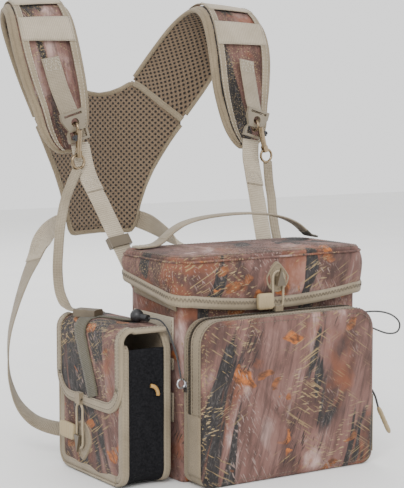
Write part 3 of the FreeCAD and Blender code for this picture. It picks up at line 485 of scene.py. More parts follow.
def sweep_mesh(rings, closed_path=False, caps=True):
    """Faces and vertices of a tube made from equal rings of points."""
    count = len(rings[0])
    verts = [tuple(p) for ring in rings for p in ring]
    faces = []
    last = len(rings) if closed_path else len(rings) - 1
    for i in range(last):
        j = (i + 1) % len(rings)
        for k in range(count):
            n = (k + 1) % count
            faces.append((i * count + k, i * count + n, j * count + n, j * count + k))
    if caps and not closed_path:
        faces.append(tuple(reversed(range(count))))
        faces.append(tuple(range((len(rings) - 1) * count, len(rings) * count)))
    return verts, faces


def lengths_along(points):
    total = [0.0]
    for a, b in zip(points, points[1:]):
        total.append(total[-1] + (Vector(b) - Vector(a)).length)
    return total


def strip_frames(points, across, per):
    """Dense route with its width and face directions."""
    hints = across if isinstance(across, list) else [across] * len(points)
    route = catmull(points, per)
    hint_route = catmull(hints, per)
    frames = []
    for index, point in enumerate(route):
        along = (route[min(index + 1, len(route) - 1)] - route[max(index - 1, 0)]).normalized()
        side = hint_route[index] - along * hint_route[index].dot(along)
        side.normalize()
        frames.append((point, side, side.cross(along).normalized()))
    return frames


def strip_shape(frames, width, thickness, crown=0.0):
    """Woven strip with round selvedges; crown thickens its middle."""
    half_w, half_t = width / 2, thickness / 2
    profile = [(-1.0, -0.35), (-0.965, -0.9), (-0.5, -1.0), (0.0, -1.0), (0.5, -1.0), (0.965, -0.9),
               (1.0, -0.35), (1.0, 0.35), (0.965, 0.9), (0.5, 1.0), (0.0, 1.0), (-0.5, 1.0), (-0.965, 0.9),
               (-1.0, 0.35)]
    rings, uvs = [], []
    run = lengths_along([f[0] for f in frames])
    for (point, side, face_dir), distance in zip(frames, run):
        ring = []
        for u, v in profile:
            lift = half_t * v * (1 + crown * (1 - u * u))
            ring.append(point + side * (half_w * u) + face_dir * lift)
            uvs.append((distance, half_w * (u + 1)))
        rings.append(ring)
    verts, faces = sweep_mesh(rings)
    return verts, faces, uvs


def strap(name, points, width, thickness, across, material, body, nodes=(), per=6, crown=0.0):
    verts, faces, uvs = strip_shape(strip_frames(points, across, per), width, thickness, crown)
    return new_piece(name, verts, faces, material, body, nodes, uvs)


def rope_shape(route, radius, sides=8, closed=False):
    """Round tube along a dense route."""
    rings = []
    up = Vector((0.31, 0.17, 0.93))
    count = len(route)
    for index, point in enumerate(route):
        after = route[(index + 1) % count] if closed else route[min(index + 1, count - 1)]
        before = route[index - 1] if closed else route[max(index - 1, 0)]
        along = (Vector(after) - Vector(before)).normalized()
        side = (up - along * up.dot(along)).normalized()
        other = along.cross(side)
        up = side
        rings.append([Vector(point) + side * (radius * math.cos(a)) + other * (radius * math.sin(a))
                      for a in (math.tau * k / sides for k in range(sides))])
    return sweep_mesh(rings, closed)


def rope(name, route, radius, material, body, nodes=(), closed=False, sides=8):
    verts, faces = rope_shape([Vector(p) for p in route], radius, sides, closed)
    return new_piece(name, verts, faces, material, body, nodes)


def resample(points, step):
    """Points at equal spacing along a route."""
    points = [Vector(p) for p in points]
    run = lengths_along(points)
    count = max(2, int(round(run[-1] / step)) + 1)
    result, index = [], 0
    for k in range(count):
        target = run[-1] * k / (count - 1)
        while index < len(run) - 2 and run[index + 1] < target:
            index += 1
        span = max(run[index + 1] - run[index], 1e-9)
        result.append(points[index].lerp(points[index + 1], (target - run[index]) / span))
    return result


class Gather:
    """Collects many small shapes into one mesh."""

    def __init__(self):
        self.verts, self.faces = [], []

    def add(self, verts, faces):
        base = len(self.verts)
        self.verts += verts
        self.faces += [tuple(i + base for i in face) for face in faces]

    def piece(self, name, material, body):
        return new_piece(name, self.verts, self.faces, material, body)


def stitch_run(gather, points, length=2.6, gap=1.1, radius=0.33):
    """A row of stitches along a route that lies on the cloth."""
    dots = resample(points, (length + gap) / 4)
    step = 4
    for start in range(0, len(dots) - 3, step):
        a, b = dots[start], dots[min(start + 3, len(dots) - 1)]
        along = b - a
        if along.length < 0.2:
            continue
        rings = []
        side = along.orthogonal().normalized()
        other = along.normalized().cross(side)
        for share, size in ((0.0, 0.35), (0.18, 0.95), (0.82, 0.95), (1.0, 0.35)):
            centre = a + along * share
            rings.append([centre + (side * math.cos(t) + other * math.sin(t)) * (radius * size)
                          for t in (math.tau * k / 5 for k in range(5))])
        gather.add(*sweep_mesh(rings))


def zigzag(points, across, width, pitch):
    """Zigzag line over a route, to and fro along across."""
    return [point + across * (width / 2 * (1 if k % 2 else -1))
            for k, point in enumerate(resample(points, pitch))]


def kept_order(keep, count):
    """Kept indices of a closed outline from where their stretch starts, and whether it goes all round."""
    starts = [k for k in keep if (k - 1) % count not in keep]
    first = starts[0] if starts else 0
    return [(first + k) % count for k in range(len(keep))], not starts


def two_faced_grid(rows, columns):
    """Faces of a panel: a front grid of rows by columns + 1 points, then its back, closed at the border."""
    wide = columns + 1
    size = rows * wide
    faces = []
    for r in range(rows - 1):
        for c in range(columns):
            a = r * wide + c
            b = a + wide
            faces.append((a, a + 1, b + 1, b))
            faces.append((size + a, size + b, size + b + 1, size + a + 1))
    border = list(range(wide))
    border += [r * wide + columns for r in range(1, rows)]
    border += [(rows - 1) * wide + c for c in range(columns - 1, -1, -1)]
    border += [r * wide for r in range(rows - 2, 0, -1)]
    for a, b in zip(border, border[1:] + border[:1]):
        faces.append((b, a, size + a, size + b))
    return faces


def roll(edge, reach):
    """Quarter round that rises from 0 at an edge to 1 at reach inside it."""
    return math.sqrt(max(0.0, 1 - (1 - min(1.0, edge / reach)) ** 2))


# ---- places shared by the pieces, from the frame ---------------------------------------------
BAG_LOW, BAG_HIGH = node_box("bag_shell")
LID_LOW, LID_HIGH = node_box("lid_shell")
BIND_LOW = node_box("lid_binding")[0]
POCKET_LOW, POCKET_HIGH = node_box("pocket_front_panel")
LOWER_LOW = node_box("pocket_lower")[0]
POUCH_LOW, POUCH_HIGH = node_box("pouch_front_panel")
BACK_LOW, BACK_HIGH = node_box("pouch_back_panel")
FLAP_LOW, FLAP_HIGH = node_box("pouch_flap")
PANEL_LOW, PANEL_HIGH = node_box("chest_panel")
JOINTS = {joint["name"]: joint for joint in frame["joints"]}
HALF_W = BAG_HIGH.x
FOLD_Z = JOINTS["pocket_fold"]["pos_m"][2] / MM
ZIP_Y = node_box("zip_coil_rear")[0].y
WEB_W, WEB_T = 20, 1.6        # harness webbing
TETHER_W, TETHER_T = 10, 1.4  # tether straps
FOLD_W = 20.4                 # webbing's folded ends


def soft_noise(point, scale, depth):
    """Slow wrinkles: signed depth in millimetres at a place."""
    return depth * noise.noise(Vector(point) * scale)


def rounded_plan(x0, x1, y0, y1, front_r, rear_r, step=5.0):
    """Closed plan outline, starting at the rear right and running round the rear, left and front."""
    corners = [(x1 - rear_r, y1 - rear_r, rear_r, 0), (x0 + rear_r, y1 - rear_r, rear_r, 90),
               (x0 + front_r, y0 + front_r, front_r, 180), (x1 - front_r, y0 + front_r, front_r, 270)]
    points = []
    for cx, cy, radius, start in corners:
        for k in range(9):
            angle = math.radians(start + 90 * k / 8)
            points.append(Vector((cx + radius * math.cos(angle), cy + radius * math.sin(angle), 0)))
    dense = []
    for a, b in zip(points, points[1:] + points[:1]):
        pieces = max(1, int((b - a).length / step))
        dense += [a.lerp(b, k / pieces) for k in range(pieces)]
    return dense


def outward(points):
    """Outward direction at each point of a closed plan outline that runs anticlockwise."""
    result = []
    for before, after in zip(points[-1:] + points[:-1], points[1:] + points[:1]):
        along = (after - before).normalized()
        result.append(Vector((along.y, -along.x, 0)))
    return result


def rim_height(y):
    """The bag's rim falls towards its rear corners."""
    bend = (BAG_LOW.y + BAG_HIGH.y) / 2
    fall = BAG_HIGH.z - 72.0
    return BAG_HIGH.z - fall * max(0.0, (y - bend) / (BAG_HIGH.y - bend))


LINING_IN = 5.2            # the lining's depth behind the bag's outer face
FLOOR_TOP = BAG_LOW.z + 6  # the lining's floor


def build_bag():
    """The bag's shell with a rounded plan and slow wrinkles, its lining and its rim stitches."""
    plan = rounded_plan(BAG_LOW.x, BAG_HIGH.x, BAG_LOW.y, BAG_HIGH.y, 7.0, 14.0)
    normals = outward(plan)
    count = len(plan)
    centre = Vector((0, (BAG_LOW.y + BAG_HIGH.y) / 2, 0))
    levels = 26
    rings = []
    for inset in (0.0, 0.5, 0.9):
        rings.append([centre.lerp(p, inset) + Vector((0, 0, BAG_LOW.z + 0.2)) for p in plan])
    for k in range(levels + 1):
        share = k / levels
        ring = []
        for p, n in zip(plan, normals):
            z = BAG_LOW.z + share * (rim_height(p.y) - BAG_LOW.z)
            tuck = -2.2 * max(0.0, 1 - share * 9) ** 2
            wrinkle = soft_noise((p.x, p.y, z), 0.03, 0.5)
            ring.append(Vector((p.x, p.y, z)) + n * (tuck + wrinkle - 0.2))
        rings.append(ring)
    for drop in (0.0, 8.0):
        rings.append([Vector((p.x, p.y, rim_height(p.y) + 0.4 - drop)) - n * 4.6
                      for p, n in zip(plan, normals)])
    verts, faces = sweep_mesh(rings, caps=False)
    faces.append(tuple(range(count)))
    bag = new_piece("bag_body", verts, faces, "camo_side", "pack", ["bag_shell"])
    keep_sharp(bag)
    inside = []
    for z, grow in ((FLOOR_TOP, 0.0), (FLOOR_TOP - 0.4, 0.92)):
        inside.append([centre.lerp(p - n * LINING_IN, grow) + Vector((0, 0, z))
                       for p, n in zip(plan, normals)])
    for k in range(12):
        share = k / 11
        ring = []
        for p, n in zip(plan, normals):
            z = FLOOR_TOP + share * (rim_height(p.y) - 2 - FLOOR_TOP)
            depth = LINING_IN + soft_noise((p.y, p.x, share * 90), 0.04, 0.5)
            ring.append(Vector((p.x, p.y, z)) - n * depth)
        inside.append(ring)
    verts, faces = sweep_mesh(inside, caps=False)
    lining = new_piece("bag_lining_cloth", verts, faces, "lining", "pack", ["bag_lining"])
    keep_sharp(lining)
    gather = Gather()
    for height in (5.0, 8.0):
        stitch_run(gather, [Vector((p.x, p.y, rim_height(p.y) - height)) + n * 0.1
                            for p, n in zip(plan + plan[:1], normals + normals[:1])])
    gather.piece("bag_rim_stitches", "thread", "pack")


# ---- side bands and gussets ----------------------------------------------------------------------
SIDE_BANDS = ((21, 46, "elastic"), (-4, 7, "webbing"), (-54, -26, "webbing"))   # bottom, top, cloth


def build_side_bands():
    """Ribbed bands across each side, their box stitches, and the wedge under the lid."""
    gather = Gather()
    rear = BAG_HIGH.y - 16
    front = BAG_LOW.y + 14
    for side in (-1, 1):
        x = side * (HALF_W + 0.7)
        label = "left" if side < 0 else "right"
        for index, (z0, z1, key) in enumerate(SIDE_BANDS):
            middle, width = (z0 + z1) / 2, z1 - z0
            points = [(x, front + (rear - front) * k / 6, middle) for k in range(7)]
            nodes = ["side_bands"] if side < 0 and index == 0 else []
            strap(f"side_band_{label}_{index}", points, width, 1.3, Vector((0, 0, 1)), key, "pack", nodes, 3)
            for y in (front + 2, rear - 2):
                stitch_run(gather, [(x + side * 0.75, y, z0 + 1), (x + side * 0.75, y, z1 - 1)])
        y0, y1 = BAG_LOW.y + 9, BAG_HIGH.y - 16
        rows = []
        for k in range(13):
            share = k / 12
            y = y0 + (y1 - y0) * share
            low, high = 52.5 + 9.5 * share, 62.0 + 11.0 * share
            bulge = 0.5 * math.sin(math.pi * share)
            profile = ((0.15, low), (1.1 + bulge, low), (1.2 + bulge, (low + high) / 2), (1.1, high),
                       (0.15, high))
            rows.append([Vector((side * (HALF_W + out), y, z)) for out, z in profile])
        verts, faces = sweep_mesh(rows)
        nodes = ["lid_gussets"] if side < 0 else []
        new_piece(f"lid_gusset_{label}", verts, faces, "tan", "pack", nodes)
    gather.piece("side_band_stitches", "thread", "pack")


# ---- lid ------------------------------------------------------------------------------------------
LID_R_FRONT, LID_R_REAR = 18.0, 20.0
LID_REAR_OPEN = LID_HIGH.x - LID_R_REAR
LID_EDGE_FRONT, LID_EDGE_REAR, LID_DIP = 57.0, 76.0, BIND_LOW.z
BINDING_H = 11.0


def lid_edge(p):
    """Height of the lid's lower edge over a plan point; the rear between the corners has no wall."""
    if p.y > LID_HIGH.y - 0.6 and abs(p.x) < LID_REAR_OPEN + 0.6:
        return LID_HIGH.z - 4.4
    slope = LID_EDGE_FRONT + (LID_EDGE_REAR - LID_EDGE_FRONT) * (p.y - LID_LOW.y) / (0 - LID_LOW.y)
    half = LID_HIGH.x - LID_R_FRONT
    if p.y < LID_LOW.y + 1.0 and abs(p.x) < half:
        return LID_DIP + (slope - LID_DIP) * (p.x / half) ** 2
    return slope


def lid_plan():
    return rounded_plan(LID_LOW.x, LID_HIGH.x, LID_LOW.y, LID_HIGH.y, LID_R_FRONT, LID_R_REAR, 4.0)


def lid_bulge(share):
    return 3.0 * math.sin(math.pi * min(1.0, share)) ** 0.8


def build_lid():
    """The lid's padded cover: walls that bulge, a rounded shoulder, a crowned top and its piping."""
    plan = lid_plan()
    normals = outward(plan)
    centre = Vector((0, (LID_LOW.y + LID_HIGH.y) / 2, 0))
    wall, rounding = 14, 5
    top = LID_HIGH.z
    rings = []
    seam_z = top - 6.5
    for k in range(wall + 1):
        share = k / wall
        ring = []
        for p, n in zip(plan, normals):
            low = min(lid_edge(p) + BINDING_H - 1.5, seam_z - 0.4)
            z = low + (seam_z - low) * share
            open_rear = low > seam_z - 1
            bulge = 0 if open_rear else lid_bulge(share) + soft_noise((p.x, p.y, z * 2), 0.028, 1.3)
            ring.append(Vector((p.x, p.y, z)) + n * (bulge - 0.6))
        rings.append(ring)
    for k in range(1, rounding + 1):
        angle = math.pi / 2 * k / rounding
        inset, rise = 6.0 * (1 - math.cos(angle)), 6.0 * math.sin(angle)
        groove = -0.9 if k == 1 else 0.0
        rings.append([Vector((p.x, p.y, seam_z + rise)) - n * (inset + 0.6 - groove)
                      for p, n in zip(plan, normals)])
    rim = rings[-1]
    for share in (0.94, 0.86, 0.75, 0.62, 0.48, 0.34, 0.2, 0.08):
        ring = []
        for p in rim:
            q = centre.lerp(Vector((p.x, p.y, 0)), share)
            crown = 2.6 * (1 - share ** 2) + soft_noise((q.x, q.y, 7), 0.022, 1.1)
            ring.append(Vector((q.x, q.y, top - 0.4 + crown)))
        rings.append(ring)
    verts, faces = sweep_mesh(rings, caps=False)
    verts.append((centre.x, centre.y, top + 2.2))
    last = (len(rings) - 1) * len(plan)
    for k in range(len(plan)):
        faces.append((last + k, last + (k + 1) % len(plan), len(verts) - 1))
    lid = new_piece("lid_cover", verts, faces, "camo", "lid", ["lid_shell"])
    thicken(lid, 3.4, -1, "lining")
    seam = [p - n * 0.2 + Vector((0, 0, seam_z + 0.8)) for p, n in zip(plan, normals)]
    rope("lid_top_piping", seam, 1.1, "camo_side", "lid", closed=True)
    gather = Gather()
    lower = [Vector((p.x, p.y, seam_z + 5.6)) - n * 3.6 for p, n in zip(plan, normals)]
    stitch_run(gather, lower + lower[:1])
    gather.piece("lid_top_stitches", "thread", "lid")


def edge_stretch(plan, normals):
    """The part of the lid's plan that has a wall: from one rear corner round the front to the other."""
    keep = [k for k, p in enumerate(plan) if lid_edge(p) < LID_HIGH.z - 5]
    return [(plan[k], normals[k]) for k in kept_order(keep, len(plan))[0]]


def build_lid_binding():
    """Ribbed tape folded over the lid's lower edge, with its zigzag seam."""
    plan = lid_plan()
    stretch = edge_stretch(plan, outward(plan))
    profile = [(0.9, BINDING_H), (1.3, BINDING_H * 0.6), (1.2, 2.2), (0.5, 0.4), (-1.6, -0.3), (-4.0, 0.5),
               (-4.6, 3.0), (-4.6, BINDING_H - 1), (-3.4, BINDING_H), (-0.8, BINDING_H + 0.6)]
    rings, uvs = [], []
    run = lengths_along([p for p, n in stretch])
    for (p, n), distance in zip(stretch, run):
        edge = lid_edge(p)
        rings.append([Vector((p.x, p.y, edge + dz)) + n * dn for dn, dz in profile])
        uvs += [(distance, k * 2.2) for k in range(len(profile))]
    verts, faces = sweep_mesh(rings)
    new_piece("lid_edge_binding", verts, faces, "binding", "lid", ["lid_binding"], uvs)
    line = [Vector((p.x, p.y, lid_edge(p) + BINDING_H * 0.66)) + n * 1.5 for p, n in stretch]
    route = zigzag(line, Vector((0, 0, 1)), 3.4, 1.9)
    rope("lid_binding_zigzag", route, 0.33, "thread", "lid", sides=5)


# ---- plates: crowned panels on a grid ------------------------------------------------------------
def half_width(z, z0, z1, half, low_r, high_r):
    """Half width of a rounded outline at height z."""
    for radius, depth in ((low_r, z - z0), (high_r, z1 - z)):
        if depth < radius:
            return half - radius + math.sqrt(max(0.0, radius ** 2 - (radius - depth) ** 2))
    return half


def grid_levels(z0, z1, low_r, high_r, step):
    """Heights that are close together where the corners turn."""
    levels = [z0 + low_r * (1 - math.cos(math.pi / 2 * k / 7)) for k in range(7)]
    middle = max(2, int((z1 - z0 - low_r - high_r) / step))
    levels += [z0 + low_r + (z1 - z0 - low_r - high_r) * k / middle for k in range(middle)]
    levels += [z1 - high_r * (1 - math.cos(math.pi / 2 * (7 - k) / 7)) for k in range(8)]
    return levels


def plate_shape(place, z0, z1, half, low_r, high_r, thickness, crown, step=5.0, pinch=7.0, wrinkle=0.5):
    """Closed crowned panel. place(u, z, d) puts a point across, up and out of the panel."""
    levels = grid_levels(z0, z1, low_r, high_r, step)
    columns = max(8, int(2 * half / step))
    verts, uvs = [], []
    for face in (1, 0):
        for z in levels:
            width = half_width(z, z0, z1, half, low_r, high_r)
            for c in range(columns + 1):
                u = width * (2 * c / columns - 1)
                edge = min(width - abs(u), z - z0, z1 - z)
                rise = roll(edge, pinch)
                swell = crown * (1 - (u / half) ** 4) * (1 - (2 * (z - z0) / (z1 - z0) - 1) ** 4)
                folds = soft_noise((u, z, z0), 0.035, wrinkle)
                out = thickness * 0.35 + rise * (thickness * 0.65 + swell + folds)
                verts.append(place(u, z, out if face else 0.25 * (1 - rise)))
                uvs.append((z, u))
    return verts, two_faced_grid(len(levels), columns), uvs


def outline_route(place, z0, z1, half, low_r, high_r, inset=0.0, out=0.0, step=4.0):
    """Closed route round a rounded outline, set in by inset and standing out by out."""
    z0, z1, half = z0 + inset, z1 - inset, half - inset
    low_r, high_r = max(1.0, low_r - inset), max(1.0, high_r - inset)
    corners = [(half - low_r, z0 + low_r, low_r, 270), (half - high_r, z1 - high_r, high_r, 0),
               (high_r - half, z1 - high_r, high_r, 90), (low_r - half, z0 + low_r, low_r, 180)]
    points = []
    for cu, cz, radius, start in corners:
        for k in range(9):
            angle = math.radians(start + 90 * k / 8)
            points.append((cu + radius * math.cos(angle), cz + radius * math.sin(angle)))
    points.append(points[0])
    flat = resample([Vector((u, z, 0)) for u, z in points], step)
    return [place(p.x, p.y, out) for p in flat]


# ---- front pocket -----------------------------------------------------------------------------------
POCKET_R_LOW, POCKET_R_HIGH = 12.0, 22.0
POCKET_HALF = POCKET_HIGH.x


def pocket_place(u, z, d):
    return Vector((u, POCKET_LOW.y + 3.0 - d, z))


def build_pocket_face():
    """The front panel is one camouflage sheet, with its stitches."""
    verts, faces, uvs = plate_shape(pocket_place, LOWER_LOW.z, POCKET_HIGH.z, POCKET_HALF, POCKET_R_LOW,
                                    POCKET_R_HIGH, 3.4, 2.6, 4.0, 6.0, 1.2)
    face = new_piece("pocket_face", verts, faces, "camo", None, ["pocket_front_panel"], uvs)
    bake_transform(face)
    gather = Gather()
    route = outline_route(pocket_place, LOWER_LOW.z, POCKET_HIGH.z, POCKET_HALF, POCKET_R_LOW, POCKET_R_HIGH,
                          4.4, 3.75)
    stitch_run(gather, route)
    seam = gather.piece("pocket_face_stitches", "thread", None)
    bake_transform(seam)


def wall_band(y0, y1, outset, thick, z_from=-math.inf, z_to=math.inf, step=3.0):
    """Rings of the pocket's side wall between two depths; only heights from z_from to z_to."""
    flat = outline_route(lambda u, z, d: Vector((u, 0, z)), LOWER_LOW.z, POCKET_HIGH.z, POCKET_HALF,
                         POCKET_R_LOW, POCKET_R_HIGH, 0.0, 0.0, step)[:-1]
    keep = [k for k, p in enumerate(flat) if z_from <= p.z <= z_to]
    order, closed = kept_order(keep, len(flat))
    rings, uvs = [], []
    distance = 0.0
    for index in order:
        p, before, after = flat[index], flat[index - 1], flat[(index + 1) % len(flat)]
        along = (after - before).normalized()
        out = Vector((along.z, 0, -along.x))
        ring = []
        for share, dn in ((0, 0.0), (0.02, 1.0), (0.25, 1.25), (0.75, 1.25), (0.98, 1.0), (1, 0.0),
                          (1, -1.0), (0, -1.0)):
            lift = outset + (dn - 1.0) * 0.5 if dn >= 0 else outset - thick
            y = y0 + (y1 - y0) * share
            ring.append(Vector((p.x, y, p.z)) + out * (lift + soft_noise((p.x, y, p.z), 0.05, 0.3)))
            uvs.append((distance, (y1 - y0) * share))
        rings.append(ring)
        distance += (after - p).length
    return rings, uvs, closed


WALL_FRONT_Y = POCKET_LOW.y + 2.9
WALL_THICK = 2.6


def build_pocket_walls():
    """The pocket's walls: before the zip on the folding panel, the rest on the bag, with the zip's teeth."""
    gather_move, gather_fixed = Gather(), Gather()
    walls = (
        ("front", WALL_FRONT_Y, ZIP_Y - 1.4, FOLD_Z + 0.5, math.inf, "pocket_panel", "pocket_gusset_front"),
        ("rear", ZIP_Y + 1.4, BAG_LOW.y - 0.4, -math.inf, math.inf, "pack", "pocket_gusset_rear"),
        ("low", WALL_FRONT_Y, ZIP_Y + 1.2, -math.inf, FOLD_Z - 0.4, "pack", "pocket_lower"),
    )
    for label, y0, y1, z_from, z_to, body, node in walls:
        rings, uvs, closed = wall_band(y0, y1, 0.0, WALL_THICK, z_from, z_to)
        verts, faces = sweep_mesh(rings, closed_path=closed)
        piece = new_piece(f"pocket_wall_{label}", verts, faces, "tan", body, [node], uvs)
        keep_sharp(piece, 50)
    for y, gather in ((ZIP_Y - 5.2, gather_move), (POCKET_LOW.y + 5.0, gather_move),
                      (ZIP_Y + 4.6, gather_fixed)):
        rings = wall_band(y, y + 0.1, 0.35, 0.1, FOLD_Z + 2)[0]
        stitch_run(gather, [ring[2] for ring in rings])
    gather_move.piece("pocket_wall_stitches", "thread", "pocket_panel")
    gather_fixed.piece("pocket_rear_stitches", "thread", "pack")
    for name, y, body, node in (("zip_teeth_front", ZIP_Y - 0.55, "pocket_panel", "zip_coil_front"),
                                ("zip_teeth_rear", ZIP_Y + 0.55, "pack", "zip_coil_rear")):
        teeth = Gather()
        rings = wall_band(y, y + 0.02, 0.45, 0.1, FOLD_Z + 0.5)[0]
        for k, p in enumerate(resample([ring[2] for ring in rings], 1.5)):
            half = 0.95
            shift = 0.35 if k % 2 else -0.35
            corners = [Vector((sx * 0.42, sy * half + shift, sz * 0.42)) for sx in (-1, 1) for sy in (-1, 1)
                       for sz in (-1, 1)]
            teeth.add([p + c for c in corners],
                      [(0, 1, 3, 2), (4, 6, 7, 5), (0, 4, 5, 1), (2, 3, 7, 6), (0, 2, 6, 4), (1, 5, 7, 3)])
        piece = teeth.piece(name, "coil", body)
        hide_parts(node)
    for side in (-1, 1):
        x = side * (POCKET_HALF + 0.9)
        label = "left" if side < 0 else "right"
        points = [(x, (POCKET_LOW.y + ZIP_Y) / 2 + 2, FOLD_Z + 3 - 57 * k / 6) for k in range(7)]
        strap(f"pocket_side_tab_{label}", points, 22, 1.2, Vector((0, 1, 0)), "tan", "pack", (), 3)


# ---- side pouch ---------------------------------------------------------------------------------------
POUCH_MID_Y = (POUCH_LOW.y + POUCH_HIGH.y) / 2
POUCH_HALF = (POUCH_HIGH.y - POUCH_LOW.y) / 2
POUCH_R = 14.0
FLAP_R = 28.0


def pouch_face_place(u, z, d):
    return Vector((POUCH_HIGH.x - d, POUCH_MID_Y - u, z))


def pouch_back_place(u, z, d):
    return Vector((BACK_HIGH.x - d, POUCH_MID_Y - u, z))


def build_pouch():
    """The side pouch's front and back panels, their bindings and stitches, and its stretch wall."""
    verts, faces, uvs = plate_shape(pouch_face_place, POUCH_LOW.z, POUCH_HIGH.z, POUCH_HALF, POUCH_R, 3.0,
                                    3.0, 2.4, 5.0, 6.0, 1.2)
    new_piece("pouch_face", verts, faces, "camo_side", "pack", ["pouch_front_panel"], uvs)
    verts, faces, uvs = plate_shape(pouch_back_place, BACK_LOW.z, BACK_HIGH.z, POUCH_HALF, POUCH_R, 22.0,
                                    3.0, 0.0, 6.0, 5.0, 0.5)
    new_piece("pouch_back", verts, faces, "tan", "pack", ["pouch_back_panel"], uvs)
    gather = Gather()
    for label, place, high, high_r in (("face", pouch_face_place, POUCH_HIGH.z, 3.0),
                                       ("back", pouch_back_place, BACK_HIGH.z, 22.0)):
        low = POUCH_LOW.z
        route = outline_route(place, low, high, POUCH_HALF, POUCH_R, high_r, 0.2, 1.6)
        points = resample(route, 4.0)
        side = Vector((1, 0, 0))
        frames = []
        for k, p in enumerate(points):
            along = (points[(k + 1) % (len(points) - 1)] - points[k - 1 if k else -2]).normalized()
            frames.append((p, side, side.cross(along).normalized()))
        verts, faces, uvs = strip_shape(frames, 7.0, 2.2, 0.15)
        new_piece(f"pouch_{label}_binding", verts, faces, "binding", "pack", (), uvs)
        inner = outline_route(place, low, high, POUCH_HALF, POUCH_R, high_r, 4.0, 3.5)
        stitch_run(gather, inner)
    gather.piece("pouch_stitches", "thread", "pack")
    band = 7.0
    route = outline_route(pouch_face_place, POUCH_LOW.z, POUCH_HIGH.z, POUCH_HALF, POUCH_R, 3.0, 5.2, 3.7)
    frames = []
    for k, p in enumerate(route):
        along = (route[min(k + 1, len(route) - 1)] - route[max(k - 1, 0)]).normalized()
        out = Vector((-1, 0, 0))
        side = out.cross(along).normalized()
        frames.append((p, side, side.cross(along).normalized()))
    verts, faces, uvs = strip_shape(frames, band, 0.9)
    new_piece("pouch_face_border", verts, faces, "binding", "pack", (), uvs)
    build_pouch_gusset()


def build_pouch_gusset():
    """Black stretch wall that pulls in between its bound edges; open at the top."""
    low_z, high_z = POUCH_LOW.z, POUCH_HIGH.z - 1.5
    outline = outline_route(lambda u, z, d: Vector((0, u, z)), low_z, high_z + 30, POUCH_HALF,
                            POUCH_R, 2.0, 0.6, 0.0, 4.0)[:-1]
    keep = [k for k, p in enumerate(outline) if p.z <= high_z]
    order = kept_order(keep, len(outline))[0]
    x0, x1 = POUCH_HIGH.x - 1.0, BACK_LOW.x + 1.0
    rows = 9
    verts, faces = [], []
    for index in order:
        p = outline[index]
        after, before = outline[(index + 1) % len(outline)], outline[index - 1]
        along = (after - before).normalized()
        out = Vector((0, along.z, -along.y))
        for r in range(rows + 1):
            share = r / rows
            waist = math.sin(math.pi * share)
            pull = 2.2 * waist ** 0.8 if abs(out.y) > 0.3 else 0.8 * waist
            verts.append(Vector((x0 + (x1 - x0) * share, POUCH_MID_Y + p.y, p.z)) - out * pull
                         + out * soft_noise((p.y, p.z, share * 60), 0.04, 0.8))
    for k in range(len(order) - 1):
        for r in range(rows):
            a = k * (rows + 1) + r
            faces.append((a, a + 1, a + rows + 2, a + rows + 1))
    gusset = new_piece("pouch_stretch_wall", verts, faces, "knit", "pack", ["pouch_gusset"])
    thicken(gusset, 1.6)


FLAP_OUT = FLAP_LOW.x + 1.2
FLAP_TOP = FLAP_HIGH.z - 1.4
FLAP_INNER = FLAP_HIGH.x
FLAP_BEND = 12.0


def flap_point(s, u, lift=0.0):
    """s runs from the hinge over the top and down the outer face, in millimetres; u from -1 to 1."""
    top_run = FLAP_INNER - (FLAP_OUT + FLAP_BEND)
    bend_run = FLAP_BEND * math.pi / 2
    if s < top_run:
        base, out = Vector((FLAP_INNER - s, 0, FLAP_TOP)), Vector((0, 0, 1))
    elif s < top_run + bend_run:
        angle = (s - top_run) / FLAP_BEND
        out = Vector((-math.sin(angle), 0, math.cos(angle)))
        base = Vector((FLAP_OUT + FLAP_BEND, 0, FLAP_TOP - FLAP_BEND)) + out * FLAP_BEND
    else:
        base = Vector((FLAP_OUT, 0, FLAP_TOP - FLAP_BEND - (s - top_run - bend_run)))
        out = Vector((-1, 0, 0))
    half = POUCH_HALF
    depth = FLAP_RUN - s
    if depth < FLAP_R:
        half = POUCH_HALF - FLAP_R + math.sqrt(max(0.0, FLAP_R ** 2 - (FLAP_R - depth) ** 2))
    y = POUCH_MID_Y + half * u
    droop = 1.6 * (u ** 2) if s < top_run else 0.0
    swell = 1.3 * (1 - u ** 4) * math.sin(math.pi * min(1.0, s / FLAP_RUN))
    ripple = soft_noise((s, y, 3), 0.035, 0.9) * (1 - abs(u) ** 6)
    return Vector((base.x, y, base.z - droop)) + out * (lift + swell * 0.6 + ripple), out


FLAP_RUN = (FLAP_INNER - FLAP_OUT - FLAP_BEND) + FLAP_BEND * math.pi / 2 + (FLAP_TOP - FLAP_BEND - FLAP_LOW.z)


def flap_rim(s, u, lift=0.0):
    """A place on the flap's rim, just inside its corners."""
    return flap_point(min(s, FLAP_RUN - 0.01), u * 0.999, lift)


def flap_inward(s, place):
    """Direction from a place on the rim towards the flap's middle."""
    return flap_point(min(s, FLAP_RUN * 0.5), 0.0)[0] - place


